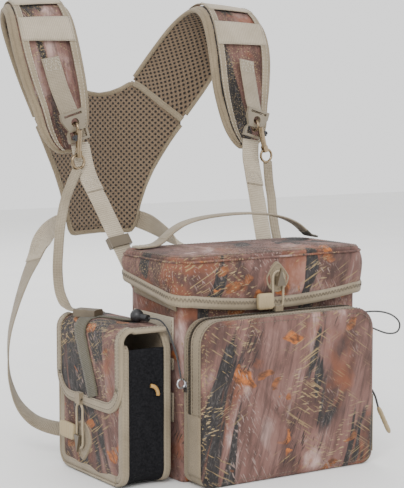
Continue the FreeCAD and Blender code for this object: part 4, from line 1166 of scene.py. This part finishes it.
def build_flap():
    """The pouch's curved flap, its bindings on both faces, its olive strip and its stitches."""
    columns = 28
    stops = [FLAP_RUN * k / 40 for k in range(34)]
    stops += [FLAP_RUN - FLAP_R * (1 - math.sin(math.pi / 2 * k / 12)) for k in range(1, 13)]
    stops = sorted(set(round(s, 3) for s in stops if s <= FLAP_RUN))
    verts, faces = [], []
    for s in stops:
        for c in range(columns + 1):
            point, _ = flap_point(s, 2 * c / columns - 1)
            verts.append(point)
    for r in range(len(stops) - 1):
        for c in range(columns):
            a = r * (columns + 1) + c
            faces.append((a, a + columns + 1, a + columns + 2, a + 1))
    flap = new_piece("pouch_flap_cloth", verts, faces, "camo_side", "flap", ["pouch_flap"])
    thicken(flap, 2.4)
    edge = [(s, -1.0) for s in stops] + [(FLAP_RUN, -1 + 2 * c / 12) for c in range(1, 12)]
    edge += [(s, 1.0) for s in reversed(stops)]
    for name, inset, width, lift, thick in (("pouch_flap_binding", 4.4, 9.0, 1.9, 1.0),
                                            ("pouch_flap_binding_under", 3.6, 8.0, -1.9, 0.9)):
        points, outs = [], []
        for s, u in edge:
            point, out = flap_rim(s, u, lift)
            points.append(point)
            outs.append(out)
        shifted = []
        for k, (s, u) in enumerate(edge):
            before, after = points[max(k - 1, 0)], points[min(k + 1, len(points) - 1)]
            along = (after - before).normalized()
            side = along.cross(outs[k]).normalized()
            if side.dot(flap_inward(s, points[k])) < 0:
                side = -side
            shifted.append((points[k] + side * inset, side, outs[k]))
        verts, faces, uvs = strip_shape(shifted, width, thick)
        new_piece(name, verts, faces, "binding", "flap", (), uvs)
    rim = [flap_rim(s, u)[0] for s, u in edge]
    rope("pouch_flap_edge", resample(rim, 3.0), 1.9, "binding", "flap")
    steps = 14
    strip = []
    for k in range(steps + 1):
        share = k / steps
        strip.append(flap_point(22.0 + (FLAP_RUN - 32.0) * share, 0.42 - 0.62 * share, 2.0)[0])
    strap("pouch_flap_strip", strip, 20.0, 1.2, Vector((0, 1, 0)), "olive", "flap")
    gather = Gather()
    for inset in (2.2, 7.6):
        line = []
        for k, (s, u) in enumerate(edge):
            point, out = flap_rim(s, u, 2.45)
            before, after = rim[max(k - 1, 0)], rim[min(k + 1, len(rim) - 1)]
            side = (after - before).normalized().cross(out).normalized()
            line.append(point + (side if side.dot(flap_inward(s, point)) > 0 else -side) * inset)
        stitch_run(gather, line)
    gather.piece("pouch_flap_stitches", "thread", "flap")


def build_pouch_trim():
    """The webbing on the flap's top, and the two straps that hold the pouch to the bag."""
    low, high = node_box("pouch_top_strap")
    z = (low.z + high.z) / 2
    top = [(-143, -24, z), (-137, -40, z + 0.3), (-131, -56, z), (-127.5, -64, z + 0.6)]
    strap("pouch_top_webbing", top, TETHER_W, TETHER_T, Vector((1, 0, 0)), "olive", "flap",
          ["pouch_top_strap"])
    low, high = node_box("pouch_mount_straps")
    for z0 in (low.z, high.z - 25):
        x0, x1 = BACK_HIGH.x + 0.2, -HALF_W - 1.8
        middle = z0 + 12.5
        label = "low" if z0 < -20 else "high"
        points = []
        for k in range(9):
            ease = 0.5 - 0.5 * math.cos(math.pi * k / 8)
            points.append((x0 + (x1 - x0) * ease, -78 + 26 * k / 8, middle))
        nodes = ["pouch_mount_straps"] if label == "low" else []
        strap(f"pouch_mount_{label}", points, 25, 2.2, Vector((0, 0, 1)), "webbing", "pack", nodes, 3)


# ---- harness ------------------------------------------------------------------------------------------
PAD_EDGES = [((41, 228, 271), (94, 204, 226)), ((60, 220, 300), (121, 188, 271)),
             ((76, 206, 327), (138, 181, 308)), ((84, 190, 341), (146, 177, 329)),
             ((87, 172, 347), (151, 166, 340)), ((86, 155, 343), (155, 152, 338)),
             ((85, 144, 332), (158, 140, 328)), ((84, 135, 313), (159, 131, 311)),
             ((83, 127, 290), (157, 124, 290)), ((82, 119, 262), (151, 117, 262)),
             ((84, 112, 238), (144, 111, 238)), ((88, 107, 219), (139, 106, 217)),
             ((95, 104, 205), (131, 104, 203)), ((104, 103, 196), (121, 103, 195))]
PAD_T = 8.0
PAD_STEPS = 6


class Pad:
    """Smooth shoulder pad surface: place(s, t, lift), s counts sections, t runs across it."""

    def __init__(self, side):
        self.side = side
        self.neck = catmull([e[0] for e in PAD_EDGES], PAD_STEPS)
        self.outer = catmull([e[1] for e in PAD_EDGES], PAD_STEPS)
        self.count = len(self.neck)

    def edges(self, s):
        place = min(max(s * PAD_STEPS, 0), self.count - 1.001)
        k = int(place)
        part = place - k
        return self.neck[k].lerp(self.neck[k + 1], part), self.outer[k].lerp(self.outer[k + 1], part)

    def normal(self, s):
        before, after = self.edges(s - 0.25), self.edges(s + 0.25)
        along = (after[0] + after[1] - before[0] - before[1]).normalized()
        neck, outer = self.edges(s)
        return along.cross(outer - neck).normalized()

    def place(self, s, t, lift):
        neck, outer = self.edges(s)
        point = neck.lerp(outer, t) + self.normal(s) * lift
        return Vector((point.x * self.side, point.y, point.z))


def pad_top(t):
    """Height of the pad's face: rolled edges and a padded middle."""
    return 2.2 + roll(min(t, 1 - t), 0.09) * (PAD_T - 2.6 + 0.9 * math.sin(math.pi * t))


PAD_SHARES = [0, 0.012, 0.035, 0.065, 0.09, 0.14, 0.22, 0.31, 0.41, 0.5, 0.59, 0.69, 0.78, 0.86, 0.91, 0.935,
              0.965, 0.988, 1.0]
PAD_ROUND = PAD_SHARES + PAD_SHARES[-2:0:-1]   # over the pad's face and back under it
RIM_STRIPS = 3                                 # strips at each edge of the face in khaki


def build_pad(side):
    """One shoulder pad, blown up a little by cloth pressure, with its bands and bindings."""
    label = "left" if side < 0 else "right"
    pad = Pad(side)
    rows = pad.count - 1
    under = PAD_ROUND[len(PAD_SHARES):]
    order = PAD_ROUND[::-1] if side < 0 else PAD_ROUND
    rings, uvs = [], []
    run = 0.0
    for r in range(rows + 1):
        s = r / PAD_STEPS
        end_pinch = min(1.0, 0.45 + 0.55 * min(r, rows - r) / 3)
        ring = [pad.place(s, t, pad_top(t) * end_pinch + soft_noise((s * 22, t * 60, side), 0.05, 0.5))
                for t in PAD_SHARES]
        ring += [pad.place(s, t, 0.4 + 0.5 * (1 - math.sin(math.pi * t))) for t in under]
        if side < 0:
            ring.reverse()
        if rings:
            run += (ring[0] - rings[-1][0]).length * 0.5 + (ring[9] - rings[-1][9]).length * 0.5
        width = (pad.edges(s)[1] - pad.edges(s)[0]).length
        uvs += [(run, t * width) for t in order]
        rings.append(ring)
    verts, faces = sweep_mesh(rings)
    piece = new_piece(f"shoulder_pad_body_{label}", verts, faces, ["camo_side", "tan", "mesh"], "pack",
                      [f"shoulder_pad_{label}"], uvs)
    paint_pad(piece, side)
    soften(piece, 3.0)
    build_pad_trim(pad, label)


def paint_pad(piece, side):
    """Camouflage in the middle of the face, khaki at its edges, mesh underneath."""
    count = len(PAD_ROUND)
    face_strips = len(PAD_SHARES) - 1
    for face in piece.data.polygons:
        if len(face.vertices) != 4:
            face.material_index = 1
            continue
        k = min(v % count for v in face.vertices)
        if side < 0:
            k = count - 1 - max(v % count for v in face.vertices)
        if k < RIM_STRIPS or face_strips - RIM_STRIPS <= k < face_strips:
            face.material_index = 1
        elif k < face_strips:
            face.material_index = 0
        else:
            face.material_index = 2


def soften(piece, cap):
    """Padding by cloth pressure; each point may move by up to cap millimetres."""
    sub = piece.modifiers.new("sub", "SUBSURF")
    sub.levels = 1
    sub.subdivision_type = "SIMPLE"
    bake_modifiers(piece)
    rest = np.array([v.co for v in piece.data.vertices])
    cloth = piece.modifiers.new("cloth", "CLOTH")
    settings = cloth.settings
    settings.quality = 5
    settings.mass = 0.3
    settings.tension_stiffness = 12
    settings.compression_stiffness = 12
    settings.bending_stiffness = 3
    settings.use_pressure = True
    settings.uniform_pressure_force = 3.0
    settings.effector_weights.gravity = 0
    cloth.collision_settings.use_collision = False
    cloth.point_cache.frame_start = 1
    cloth.point_cache.frame_end = 14
    scene = bpy.context.scene
    for number in range(1, 15):
        scene.frame_set(number)
    graph = bpy.context.evaluated_depsgraph_get()
    result = bpy.data.meshes.new_from_object(piece.evaluated_get(graph))
    moved = np.array([v.co for v in result.vertices])
    bpy.data.meshes.remove(result)
    piece.modifiers.clear()
    shift = moved - rest
    size = np.linalg.norm(shift, axis=1, keepdims=True)
    shift *= np.minimum(1.0, cap * MM / np.maximum(size, 1e-9))
    piece.data.vertices.foreach_set("co", (rest + shift).astype(np.float32).ravel())
    piece.data.update()
    scene.frame_set(1)


def pad_band(pad, name, s0, s1, t0, t1, lift, thick, key, nodes=()):
    """A band across or along the pad's face that follows its surface."""
    steps_s, steps_t = max(3, int((s1 - s0) * PAD_STEPS)), 14
    verts, uvs = [], []
    for layer in (1, 0):
        for r in range(steps_s + 1):
            s = s0 + (s1 - s0) * r / steps_s
            for c in range(steps_t + 1):
                t = t0 + (t1 - t0) * c / steps_t
                height = pad_top(t) + lift + (thick if layer else 0)
                verts.append(pad.place(s, t, height))
                neck, outer = pad.edges(s)
                uvs.append((t * (outer - neck).length, s * 24) if t1 - t0 > 0.4 else (s * 24, t * 70))
    faces = two_faced_grid(steps_s + 1, steps_t)
    if pad.side < 0:
        faces = [tuple(reversed(f)) for f in faces]
    return new_piece(name, verts, faces, key, "pack", nodes, uvs)


def build_pad_trim(pad, label):
    """Borders along the pad's edges, two elastic bands across it, and the binding round it."""
    last = len(PAD_EDGES) - 1.05
    gather = Gather()
    for index, (t0, t1) in enumerate(((0.075, 0.175), (0.825, 0.925))):
        pad_band(pad, f"pad_border_{label}_{index}", 3.4, last, t0, t1, 1.6, 1.0, "binding")
        for t in (t0 + 0.012, t1 - 0.012):
            stitch_run(gather, [pad.place(3.4 + (last - 3.4) * k / 60, t, pad_top(t) + 2.75)
                                for k in range(61)])
    nodes = ["pad_bands"] if pad.side < 0 else []
    bands = ((4.3, 5.2), (6.1, 7.3))
    for index, (s0, s1) in enumerate(bands):
        pad_band(pad, f"pad_elastic_{label}_{index}", s0, s1, 0.08, 0.92, 2.4, 1.2, "elastic",
                 [] if index else nodes)
        for t in (0.1, 0.9):
            stitch_run(gather, [pad.place(s0 + (s1 - s0) * k / 6, t, pad_top(t) + 4.0) for k in range(7)])
    gather.piece(f"pad_stitches_{label}", "pale_thread", "pack")
    route = [pad.place(0.1 + (last - 0.1) * k / 90, 0.0, 1.8) for k in range(91)]
    other = [pad.place(0.1 + (last - 0.1) * k / 90, 1.0, 1.8) for k in range(91)]
    tip = [pad.place(last, k / 8, 3.0) for k in range(9)]
    edge = resample(route + tip[1:-1] + list(reversed(other)), 4.0)
    rope(f"pad_edge_binding_{label}", edge, 2.7, "tan", "pack")


YOKE_EDGES = [(0, 98, 253), (14, 97.5, 255), (28, 97, 260), (38, 96.5, 266), (42.5, 104, 265),
              (47, 126, 262), (54, 148, 256.5), (62, 167, 250), (71, 184, 242), (80, 200, 234),
              (88, 213, 227), (92, 219, 223)]
YOKE_HALF = 92


def yoke_point(x, share, depth):
    """On the yoke: across at x, share from the lower to the upper edge, depth through it."""
    low = np.interp(abs(x), [e[0] for e in YOKE_EDGES], [e[1] for e in YOKE_EDGES])
    high = np.interp(abs(x), [e[0] for e in YOKE_EDGES], [e[2] for e in YOKE_EDGES])
    return Vector((x, 232.0 - 0.0034 * x * x + depth, low + (high - low) * share))


def build_yoke():
    """The padded yoke behind the neck: mesh inside, camouflage outside, bound, with its seam bands."""
    columns = [-YOKE_HALF + 2 * YOKE_HALF * k / 62 for k in range(63)]
    shares = [0, 0.01, 0.03, 0.06] + [0.1 + 0.8 * k / 14 for k in range(15)] + [0.94, 0.97, 0.99, 1.0]
    rings, uvs = [], []
    for x in columns:
        side = math.sqrt(min(1.0, (YOKE_HALF + 0.01 - abs(x)) / 6))
        ring, row = [], []
        for share in shares:
            rise = roll(min(share, 1 - share), 0.06) * side
            wrinkle = soft_noise((x, share * 150, 5), 0.03, 0.6) * rise
            ring.append(yoke_point(x, share, 2.6 - 2.4 * rise + wrinkle))
            row.append((x, ring[-1].z))
        for share in reversed(shares[1:-1]):
            rise = roll(min(share, 1 - share), 0.06) * side
            ring.append(yoke_point(x, share, 3.4 + 3.4 * rise))
            row.append((x, ring[-1].z))
        rings.append(ring)
        uvs += row
    verts, faces = sweep_mesh(rings)
    yoke = new_piece("yoke_body", verts, faces, ["mesh", "camo"], "pack", ["yoke_pad"], uvs)
    count = len(rings[0])
    for face in yoke.data.polygons:
        if len(face.vertices) == 4 and min(v % count for v in face.vertices) >= len(shares) - 1:
            face.material_index = 1
    gather = Gather()
    for name, share in (("yoke_binding_low", 0.0), ("yoke_binding_high", 1.0)):
        route = [yoke_point(x, share, 3.1) for x in columns]
        rope(name, resample(route, 3.5), 3.1, "tan", "pack")
        inset = 6.0
        lift = Vector((0, 0, inset if share == 0 else -inset))
        stitch_run(gather, [yoke_point(x, share, -0.2) + lift for x in columns])
    gather.piece("yoke_stitches", "thread", "pack")
    for side, label in ((-1, "left"), (1, "right")):
        for face, depth in (("inner", -0.9), ("outer", 7.5)):
            seam = [yoke_point(side * x, 1.0, depth) + Vector((side * 0.9, 0, 1.2))
                    for x in (40, 47, 56, 66, 76, 86, 91.5)]
            strap(f"yoke_seam_{label}_{face}", seam, 7.0, 1.4, Vector((side * 0.6, -0.3, 0.75)),
                  "binding", "pack")


def build_chest_panel():
    """The padded mesh panel behind the bag, bound round its edge."""
    def place(u, z, d):
        return Vector((u, PANEL_LOW.y + d, z))
    outline = (PANEL_LOW.z, PANEL_HIGH.z, PANEL_HIGH.x, 18.0, 8.0)
    verts, faces, uvs = plate_shape(place, *outline, 6.0, 0.0, 5.0, 6.0, 0.2)
    panel = new_piece("chest_panel_body", verts, faces, "mesh", "pack", ["chest_panel"], uvs)
    route = outline_route(place, *outline, 1.2, 3.4)
    rope("chest_panel_binding", route[:-1], 2.4, "tan", "pack", closed=True)
    gather = Gather()
    stitch_run(gather, outline_route(place, *outline, 7.0, 6.1))
    pitch = 8
    for z in (-50.0, 22.0):
        stitch_run(gather, [place(-PANEL_HIGH.x + pitch + k * pitch, z, 6.1)
                            for k in range(int(PANEL_HIGH.x * 2 / pitch) - 1)])
    gather.piece("chest_panel_stitches", "thread", "pack")


# ---- straps and cords: routes as in the part --------------------------------------------------------------
WEB_ROUTE = [(106.4, 83.5, 204.7), (104.0, 80.5, 186), (102.0, 72.5, 168), (97, 58, 146), (89, 34.5, 107.5),
             (81.5, 12, 71), (79.0, 1.0, 56.0), (78.0, -4.2, 40.0), (78.0, -5.05, 22.0)]
TETHER_LEFT = [(-114.2, 73, 179.4), (-122, 71, 166), (-134, 64, 147), (-145, 53, 124), (-153, 42.5, 101),
               (-159, 33, 82), (-162, 24, 64), (-162, 15.5, 53), (-160, 8.5, 47), (-157.6, 3.6, 45.6),
               (-155.5, 0.4, 45.2)]
TETHER_RIGHT = [(122.1, 73, 180.8), (121.5, 69, 158), (118.5, 60, 141), (113.5, 50, 123), (108.5, 36, 101),
                (106, 22, 79), (105.4, 8, 58), (105.2, -5, 39), (105.2, -15, 25), (105.2, -19, 14)]
SIDE_LEFT = [(-47, 234, 110), (-62, 224, 108), (-80, 209, 103), (-94, 197, 93), (-109, 184, 77),
             (-128, 169, 56), (-147, 152, 31), (-162, 137, 6), (-172, 121, -18), (-177, 105, -40),
             (-176, 88, -60), (-169, 70, -74), (-155, 55, -81), (-136, 44, -84), (-115, 32, -84.5),
             (-99, 15, -84.5), (-89.7, -1.6, -84.5)]
SIDE_RIGHT = [(47, 234, 110), (58, 222, 104), (67, 196, 92), (76, 164, 76), (86, 126, 50), (96, 88, 14),
              (101, 58, -24), (101, 34, -54), (98, 15, -74), (94.5, 6, -82), (90.4, -1.5, -86)]
TETHER_CORD = [(-123.2, -82.3, 45.3), (-118.6, -89.5, 46.2), (-113.6, -95.5, 41.0),
               (-110.8, -100.5, 31.0), (-109.0, -105.3, 19.5), (-107.6, -109.8, 7.0),
               (-106.8, -113.2, -8.2)]
LENS_CORD = [(105.0, -100.0, 33.0), (115.0, -100.0, 34.0), (129.0, -100.4, 34.4), (144.0, -101.0, 33.0),
             (158.0, -101.6, 28.4), (168.0, -101.9, 19.4), (165.0, -101.8, 9.6), (152.0, -101.4, 9.0),
             (138.0, -100.8, 14.2), (125.0, -100.4, 20.0), (114.0, -100.0, 24.2), (105.0, -100.0, 26.0)]


def side_hints(route, side):
    """The side straps turn on edge between their ends."""
    hints = []
    for index in range(len(route)):
        share = index / (len(route) - 1)
        edge_on = math.sin(math.pi * share) ** 0.7
        hints.append(Vector((side * 0.42 * edge_on, 0.9 * edge_on, 1.0 - 0.7 * edge_on)))
    return hints


def nurbs_curve(name, route):
    """Smooth curve that starts and ends on its route's ends; route in millimetres."""
    curve = bpy.data.curves.new(name, "CURVE")
    curve.dimensions = "3D"
    spline = curve.splines.new("NURBS")
    spline.points.add(len(route) - 1)
    for point, place in zip(spline.points, route):
        point.co = (*mm(*place), 1.0)
    spline.order_u = 3
    spline.use_endpoint_u = True
    curve.resolution_u = 12
    return curve


def build_lens_cord():
    """Loose loop of cord beside the lid, sewn to a tab at both ends."""
    diameter = 1.8
    curve = nurbs_curve("lens_cord_loop", LENS_CORD)
    curve.bevel_depth = diameter * MM / 2
    curve.bevel_resolution = 4
    curve.materials.append(M["cord_black"])
    cord = bpy.data.objects.new("lens_cord_loop", curve)
    bpy.context.scene.collection.objects.link(cord)
    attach(cord, "pack")
    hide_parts("lens_cord")
    mm(*LENS_CORD[0])


def build_tether_cord():
    """Cord from the ring on the bag up to the cord lock on the flap."""
    diameter = 1.6
    guide = bpy.data.objects.new("tether_guide", nurbs_curve("tether_guide", TETHER_CORD))
    bpy.context.scene.collection.objects.link(guide)
    line = bpy.data.meshes.new_from_object(guide)
    path = [v.co.copy() for v in line.vertices]
    bpy.data.objects.remove(guide)
    cord = rope("tether_cord_line", [p / MM for p in path], diameter / 2, "cord_black", None, ["tether_cord"])
    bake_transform(cord)
    mm(*TETHER_CORD[-1])
    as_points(path[::-1])


def box_stitch(gather, frames, i, j, width, lift):
    """Rectangle with a zigzag inside, sewn through a strap between two of its frames."""
    def at(k, u):
        point, side, out = frames[k]
        return point + side * (width / 2 * u) + out * lift
    edge = 0.78
    span = list(range(i, j + 1))
    there = [at(k, -edge) for k in span]
    back = [at(k, edge) for k in reversed(span)]
    stitch_run(gather, there + back + [at(i, -edge)])
    steps = max(3, int(width / 3.2))
    line = []
    for c in range(steps + 1):
        u = -edge + 2 * edge * c / steps
        line.append(at(i if c % 2 else j, u))
    stitch_run(gather, line)


def build_straps():
    """The harness webbing, its folded and box-stitched ends, and the two tether straps."""
    gather = Gather()
    for side, label in ((-1, "left"), (1, "right")):
        route = [(side * x, y, z) for x, y, z in WEB_ROUTE]
        hint = Vector((side, 0, 0))
        strap(f"elastic_strap_{label}", route, WEB_W, WEB_T, hint, "elastic", "pack",
              [f"elastic_webbing_{label}"], 8)
        frames = strip_frames(route, hint, 8)
        out_dir = -1 if frames[5][2].y > 0 else 1
        folded = [(p + o * (1.5 * out_dir), s, o) for p, s, o in frames[1:22]]
        verts, faces, uvs = strip_shape(folded, FOLD_W, 1.4)
        new_piece(f"elastic_fold_{label}", verts, faces, "elastic", "pack", (), uvs)
        box_stitch(gather, folded, 15, 19, WEB_W, 0.85 * out_dir)
        top = [(side * 123, 115.6, 292), (side * 121.5, 111.9, 282), (side * 119.5, 103.0, 262),
               (side * 117.0, 94.5, 246), (side * 115.6, 87.0, 234.0)]
        nodes = ["pad_webbing"] if side < 0 else []
        hint = Vector((side * 0.95, 0, -0.3))
        strap(f"pad_strap_{label}", top, WEB_W, WEB_T, hint, "webbing", "pack", nodes, 6)
        frames = strip_frames(top, hint, 6)
        sign = -1 if frames[3][2].y > 0 else 1
        box_stitch(gather, frames, 1, 7, WEB_W, 0.95 * sign)
    strap("tether_left_strap", TETHER_LEFT, TETHER_W, TETHER_T,
          [Vector((0.9, -0.43, 0))] * (len(TETHER_LEFT) - 3) + [Vector((0.9, 0.43, 0))] * 3, "webbing", None,
          ["tether_strap_left"])
    tether = bpy.data.objects["tether_left_strap"]
    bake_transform(tether)
    strap("tether_right_strap", TETHER_RIGHT, TETHER_W, TETHER_T,
          [Vector((0.9, -0.43, 0))] * (len(TETHER_RIGHT) - 3) + [Vector((0, -1, 0))] * 3, "webbing", "pack",
          ["tether_strap_right"])
    sides = (("left", SIDE_LEFT, 1), ("right", SIDE_RIGHT, -1))
    for label, route, side in sides:
        strap(f"side_strap_{label}_web", route, WEB_W, WEB_T, side_hints(route, side), "webbing", "pack",
              [f"side_strap_{label}"])
    for label, route, side in sides:
        frames = strip_frames(route, side_hints(route, side), 6)
        folded = [(p + o * 1.5, s, o) for p, s, o in frames[2:26]]
        verts, faces, uvs = strip_shape(folded, FOLD_W, 1.3)
        new_piece(f"side_strap_fold_{label}", verts, faces, "elastic", "pack", (), uvs)
        box_stitch(gather, folded, 16, 21, WEB_W, 0.8)
    gather.piece("strap_stitches", "pale_thread", "pack")


# ---- handle, latches, small trim -----------------------------------------------------------------------
HANDLE_Y = -30.0
HANDLE_ARCH = [(-76, 7.2), (-73.5, 8.6), (-66, 14), (-52, 21), (-32, 25.5), (-6, 27.8), (20, 28.2),
               (46, 26.5), (68, 22), (84, 15.5), (94, 8.6), (96.4, 6.4)]
HANDLE_ENDS = [[(-106, 0), (-97, 0), (-86, 1.0), (-79, 4.0), (-74.0, 7.4)],
               [(94.8, 7.2), (99, 3.8), (102, 1.6), (109, 0)]]


def build_handle():
    """The carry handle's swinging arch, and its two ends sewn to the lid."""
    rest = LID_HIGH.z + 1.3
    arch = [(x, HANDLE_Y, rest + h) for x, h in HANDLE_ARCH]
    strap("handle_arch", arch, 15, 2.0, Vector((0, 1, 0)), "webbing", "handle", ["carry_handle"], 8, 0.25)
    gather = Gather()
    for index, stations in enumerate(HANDLE_ENDS):
        label = "left" if index == 0 else "right"
        route = [(x, HANDLE_Y, rest + h + 0.6) for x, h in stations]
        nodes = ["handle_ends"] if index == 0 else []
        key = "webbing" if index == 0 else "dark_webbing"
        strap(f"handle_end_{label}", route, 15.4, 2.2, Vector((0, 1, 0)), key, "lid", nodes, 6)
        frames = strip_frames(route, Vector((0, 1, 0)), 6)
        pair = (1, 7) if index == 0 else (len(frames) - 8, len(frames) - 2)
        sign = 1 if frames[3][2].z > 0 else -1
        box_stitch(gather, frames, pair[0], pair[1], 15, 1.25 * sign)
    gather.piece("handle_stitches", "pale_thread", "lid")


def loop_route(node, axis, pivot_z=None):
    """Centreline of a cord loop from its node's box, cut short at its pivot where one is given."""
    low, high = node_box(node)
    d = high[axis] - low[axis]
    wide = 1 - axis
    half = (high[wide] - low[wide] - d) / 2
    z0, z1 = low.z + d / 2, (high.z - d / 2 if pivot_z is None else pivot_z)
    centre = (low + high) / 2
    points = []
    for k in range(13):
        a = math.pi * k / 12
        points.append((half * math.cos(a), z1 - half + half * math.sin(a)))
    for k in range(13):
        a = math.pi + math.pi * k / 12
        points.append((half * math.cos(a), z0 + half + half * math.sin(a)))
    result = []
    for u, z in points:
        p = Vector((0, 0, z))
        p[wide] = centre[wide] + u
        p[axis] = centre[axis]
        result.append(p)
    return result, d / 2


TAB_OUT = 0.9             # the pull tabs are moved out by this much, clear of the padded walls


def tab_shape(node, axis, groove_count):
    """Rubber pull tab: rounded block with finger grooves, thin side along axis."""
    low, high = node_box(node)
    wide = 1 - axis
    centre = (low + high) / 2
    half_l, half_h = (high[wide] - low[wide]) / 2, (high.z - low.z) / 2
    half_t = (high[axis] - low[axis]) / 2 * 0.82
    rings = []
    stations = 42
    for k in range(stations + 1):
        share = k / stations
        u = -half_l + 2 * half_l * share
        taper = math.sqrt(max(0.0, 1 - (abs(2 * share - 1)) ** 8)) * 0.35 + 0.65
        groove = 0.0
        if 0.18 < share < 0.82:
            groove = 0.16 * (0.5 + 0.5 * math.cos(math.tau * groove_count * (share - 0.18) / 0.64 + math.pi))
        ring = []
        for j in range(20):
            a = math.tau * j / 20
            ca, sa = math.cos(a), math.sin(a)
            x = math.copysign(abs(ca) ** 0.45, ca) * half_h * taper
            y = math.copysign(abs(sa) ** 0.6, sa) * half_t * taper * (1 - groove)
            p = Vector((0, 0, centre.z + x))
            p[wide] = centre[wide] + u
            p[axis] = centre[axis] + y - TAB_OUT
            ring.append(p)
        rings.append(ring)
    return sweep_mesh(rings)


POUCH_LOOP_TOP = -40.6     # the pouch loop hangs from this height
PATCH_LIFT = 2.2          # scales the patches' heights below, so that they show above the padding
PATCH_RINGS = ((1.0, -0.6), (1.0, 0.5), (0.95, 1.3), (0.86, 1.5), (0.82, 1.1), (0.6, 1.3), (0.3, 1.45),
               (0.05, 1.5))     # size and height of each ring, from the base to the middle


def spade_shape(node, axis, direction, lift):
    """Spade patch with a rolled rim, from its node's box."""
    low, high = node_box(node)
    wide = 1 - axis
    half, height = (high[wide] - low[wide]) / 2, high.z - low.z
    centre = (low + high) / 2
    outline = []
    for k in range(48):
        turn = math.tau * k / 48
        rise = math.sin(turn)
        width = math.cos(turn)
        if rise > 0:
            width *= 1 - 0.55 * rise
        outline.append((half * width, height / 2 * rise))
    if axis == 0:
        outline = [(u, -v) for u, v in reversed(outline)]
    rings = []
    base = low[axis] if direction > 0 else high[axis]
    for scale, out in PATCH_RINGS:
        ring = []
        for u, v in outline:
            p = Vector((0, 0, centre.z + v * scale))
            p[wide] = centre[wide] + u * scale
            p[axis] = base + direction * (out * lift)
            ring.append(p)
        rings.append(ring)
    return sweep_mesh(rings)


def build_latches():
    """Both cord loops with their rubber pull tabs, and the spade patches under the hooks."""
    route, radius = loop_route("lid_loop", 1)
    rope("lid_cord_loop", route, radius, "cord_tan", "lid_latch", ["lid_loop"], closed=True, sides=10)
    route, radius = loop_route("pouch_loop", 0, POUCH_LOOP_TOP)
    rope("pouch_cord_loop", route, radius, "cord_tan", "pouch_latch", ["pouch_loop"], closed=True, sides=10)
    verts, faces = tab_shape("lid_pull_tab", 1, 3)
    new_piece("lid_rubber_tab", verts, faces, "rubber", "lid_latch", ["lid_pull_tab"])
    verts, faces = tab_shape("pouch_pull_tab", 0, 4)
    new_piece("pouch_rubber_tab", verts, faces, "rubber", "pouch_latch", ["pouch_pull_tab"])
    verts, faces = spade_shape("lid_patch", 1, -1, PATCH_LIFT)
    new_piece("lid_spade_patch", verts, faces, "tan", "lid", ["lid_patch"])
    verts, faces = spade_shape("pouch_patch", 0, -1, PATCH_LIFT)
    new_piece("pouch_spade_patch", verts, faces, "tan", "pack", ["pouch_patch"])


def build_zip_pull():
    """Braided cord and a ribbed rubber grip that hang from the slider."""
    low, high = node_box("zip_pull")
    start = Vector((low.x + 1.2, (low.y + high.y) / 2, high.z - 1.0))
    end = Vector((high.x - 3.4, (low.y + high.y) / 2, low.z + 3.4))
    cord_end = start.lerp(end, 0.47)
    bend = start.lerp(end, 0.25) + Vector((1.4, 0, 1.2))
    rope("zip_pull_cord", catmull([start, bend, cord_end], 6), 1.1, "cord_black", "zip_tail", ["zip_pull"])
    rings = []
    axis = end - cord_end
    side = Vector((0, 1, 0))
    other = axis.normalized().cross(side)
    stations = 44
    for k in range(stations + 1):
        share = k / stations
        radius = 3.1 * math.sqrt(max(0.02, 1 - abs(2 * share - 1) ** 7))
        if 0.25 < share < 0.8:
            radius *= 1 - 0.10 * (0.5 + 0.5 * math.cos(math.tau * 6 * share))
        centre = cord_end + axis * (share * 1.06)
        rings.append([centre + (side * math.cos(a) + other * (0.72 * math.sin(a))) * radius
                      for a in (math.tau * j / 14 for j in range(14))])
    verts, faces = sweep_mesh(rings)
    new_piece("zip_pull_grip", verts, faces, "rubber", "zip_tail")


def build_toggle():
    """The curved rubber toggle on the pouch."""
    low, high = node_box("pouch_toggle")
    y = (low.y + high.y) / 2
    radius = 1.9
    reach_x, reach_z = high.x - low.x - radius, high.z - low.z - radius
    route = []
    for k in range(13):
        turn = math.pi / 2 * k / 12
        route.append((low.x + reach_x * math.cos(turn), y - 0.6 * math.sin(2 * turn),
                      low.z + reach_z * math.sin(turn)))
    rope("pouch_toggle_cord", route, radius, "toggle", "pack", ["pouch_toggle"], sides=10)


def dress_cad_nodes():
    """Hard parts keep their CAD shape and take these finishes."""
    finishes = {
        "lid_hook": "bronze", "pouch_hook": "bronze", "lid_loop_anchor": "tan", "pouch_loop_tab": "tan",
        "tether_buckle": "bronze", "cord_lock": "black", "zip_slider": "metal", "cord_anchors": "metal",
        "snap_rings": "brass", "snap_hook_left": "brass", "snap_hook_right": "brass",
        "snap_gate_left": "black", "snap_gate_right": "black", "buckle_left": "plastic",
        "buckle_right": "plastic", "strap_slider_left": "bronze", "strap_slider_right": "bronze",
    }
    for node, key in finishes.items():
        shape = frame["nodes"][node]
        shape.data.materials.clear()
        shape.data.materials.append(M[key])


add_camera()
build_lens_cord()
build_tether_cord()
add_studio()
build_bag()
build_side_bands()
build_lid()
build_lid_binding()
build_pocket_face()
build_pocket_walls()
build_pouch()
build_flap()
build_pouch_trim()
for side in (-1, 1):
    build_pad(side)
build_yoke()
build_chest_panel()
build_straps()
build_handle()
build_latches()
build_zip_pull()
build_toggle()
dress_cad_nodes()
